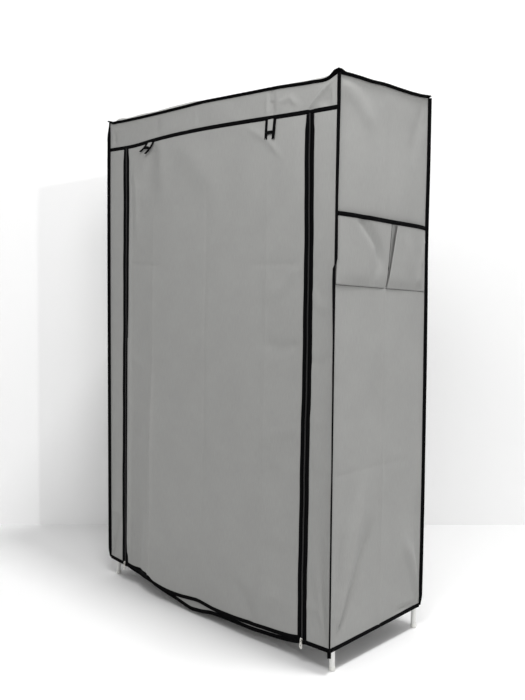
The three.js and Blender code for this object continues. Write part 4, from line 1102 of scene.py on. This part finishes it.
shelfRows = np.concatenate([np.linspace(0, 0.068, 14), np.linspace(0.075, 0.925, 46),
                            np.linspace(0.932, 1, 14)])
profile = np.array([shelfProfile(share) for share in shelfRows])
shelves = []
for name, ring, node in (("bottom_shelf_cloth", "lower", "bottom_shelf"),
                         ("hat_shelf_cloth", "shelf", "hat_shelf")):
    level = frameLook["levels"][ring]

    def shelfPlace(u, v):
        x = u * shelfLook["half"]
        row = np.searchsorted(shelfRows, v)
        y, z = profile[row, 0], profile[row, 1]
        wave = liftOf(shelfLook, x, y, int(level))
        return x, y, level + z + wave * freed(frameLook["y"] - np.abs(y), 40, 0)

    shelf = clothPiece(name, np.linspace(-1, 1, 90), shelfRows, shelfPlace, shelfLook["run"])
    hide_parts(node)
    shelves.append(shelf)
print("shelves made")

# Cloth panels stand for their solids, which are hidden
panels = bpy.data.objects
for name, node, flat, held, carriers in (
        ("door_cloth", "door_panel", (0.82, 1.49), "hung", ["top_tube_front"]),
        ("front_left_cloth", "front_left_strip", (0.085, 1.49), "hung", ["top_tube_front"]),
        ("front_right_cloth", "front_right_strip", (0.085, 1.49), "hung", ["top_tube_front"]),
        ("front_header_cloth", "front_header", (1.02, 0.1), "hung", ["top_tube_front"]),
        ("front_sill_cloth", "front_sill_strip", (0.86, 0.022), "hung", ["top_tube_front"]),
        ("left_side_cloth", "left_side_panel", (0.44, 1.56), "hung", ["top_tube_left"]),
        ("right_side_cloth", "right_side_panel", (0.44, 1.56), "hung", ["top_tube_right"]),
        ("back_cloth", "back_panel", (1.02, 1.56), "hung", ["top_tube_back"]),
        ("top_cloth", "top_panel", (1.03, 0.43), "stretched", ["top_tube_front", "top_tube_back"]),
        ("side_pocket_cloth", "side_pocket", (0.47, 0.19), "hung", ["top_tube_right"])):
    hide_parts(node)
for shelf, level in zip(shelves, ("lower", "shelf")):
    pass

# The door's cloth, its zip halves and the ties get meshes of their own
for piece in [panels["door_cloth"], *zipPieces]:
    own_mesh(piece)
for piece in tiePieces:
    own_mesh(piece)

# Frame: tubes drawn round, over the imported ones
tubeLook = {"radius": 8, "bore": 7.2, "rim": 0.5, "sides": 32, "sharp": 60, "postFrom": 11, "postTo": 1601}


def hardPiece(name, points, faces, material, sharp):
    made = finishMesh(name, points, faces, [(0, 0)] * len(points), material, root)
    made.data.set_sharp_from_angle(angle=math.radians(sharp))
    return made


def tubePiece(name, start, end, node):
    start, end = Vector(start), Vector(end)
    way = (end - start).normalized()
    first = way.orthogonal().normalized()
    second = way.cross(first)
    radius, bore, rim, sides = (tubeLook[key] for key in ("radius", "bore", "rim", "sides"))
    rings = [(start, bore), (start, radius - rim), (start + way * rim, radius),
             (end - way * rim, radius), (end, radius - rim), (end, bore)]
    points = []
    for centre, reach in rings:
        for k in range(sides):
            angle = 2 * math.pi * k / sides
            points.append(tuple(centre + (first * math.cos(angle) + second * math.sin(angle)) * reach))
    faces = ringFaces(len(rings), sides, True)
    made = hardPiece(name, points, faces, powderCoat, tubeLook["sharp"])
    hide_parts(node)


# Foot plugs: radius and height from the floor up
footLook = {"profile": [(6.6, 0), (8.2, 0.7), (8.9, 2.4), (8.9, 11.4), (8.3, 12.2), (7.9, 12.4)], "sharp": 50}
for corner, signX, signY in corners:
    x, y = signX * frameLook["x"], signY * frameLook["y"]
    foot, head = (x, y, tubeLook["postFrom"]), (x, y, tubeLook["postTo"])
    tubePiece(f"post_tube_{corner}", foot, head, f"post_{corner}")
    angles = np.linspace(0, 2 * math.pi, tubeLook["sides"] + 1)[:-1]
    points = [(x + r * math.cos(a), y + r * math.sin(a), z) for r, z in footLook["profile"] for a in angles]
    faces = ringFaces(len(footLook["profile"]), tubeLook["sides"], False)
    hardPiece(f"foot_plug_{corner}", points, faces, mouldedPlastic, footLook["sharp"])
for level, z in frameLook["levels"].items():
    for side, sign in (("front", -1), ("back", 1)):
        reach, beside = frameLook["x"] - frameLook["seat"], sign * frameLook["y"]
        tubePiece(f"{level}_bar_{side}", (-reach, beside, z), (reach, beside, z), f"{level}_tube_{side}")
    for side, sign in bothSides:
        reach, beside = frameLook["y"] - frameLook["seat"], sign * frameLook["x"]
        tubePiece(f"{level}_bar_{side}", (beside, -reach, z), (beside, reach, z), f"{level}_tube_{side}")
railLook = {"half": 503, "below": 24}
railZ = frameLook["levels"]["shelf"] - railLook["below"]
tubePiece("rail_tube", (-railLook["half"], 0, railZ), (railLook["half"], 0, railZ), "hanging_rail")

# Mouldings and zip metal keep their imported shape, with softened edges
edgeLook = {"moulding": 0.5, "metal": 0.18, "weldM": 0.00001, "angle": 40}
for name, piece in frame["nodes"].items():
    if "connector" in name or "bracket" in name:
        look, edge = mouldedPlastic, edgeLook["moulding"]
    elif "slider" in name or "pull" in name:
        look, edge = nickelPlate, edgeLook["metal"]
    else:
        continue
    for spot in piece.material_slots:
        spot.material = look
    if not piece.material_slots:
        piece.data.materials.append(look)
    weld = piece.modifiers.new("weld", "WELD")
    weld.merge_threshold = edgeLook["weldM"]
    bevel = piece.modifiers.new("edges", "BEVEL")
    bevel.width, bevel.segments = edge * mm, 2
    bevel.limit_method, bevel.angle_limit = "ANGLE", math.radians(edgeLook["angle"])
    bevel.harden_normals = False
print("frame dressed")
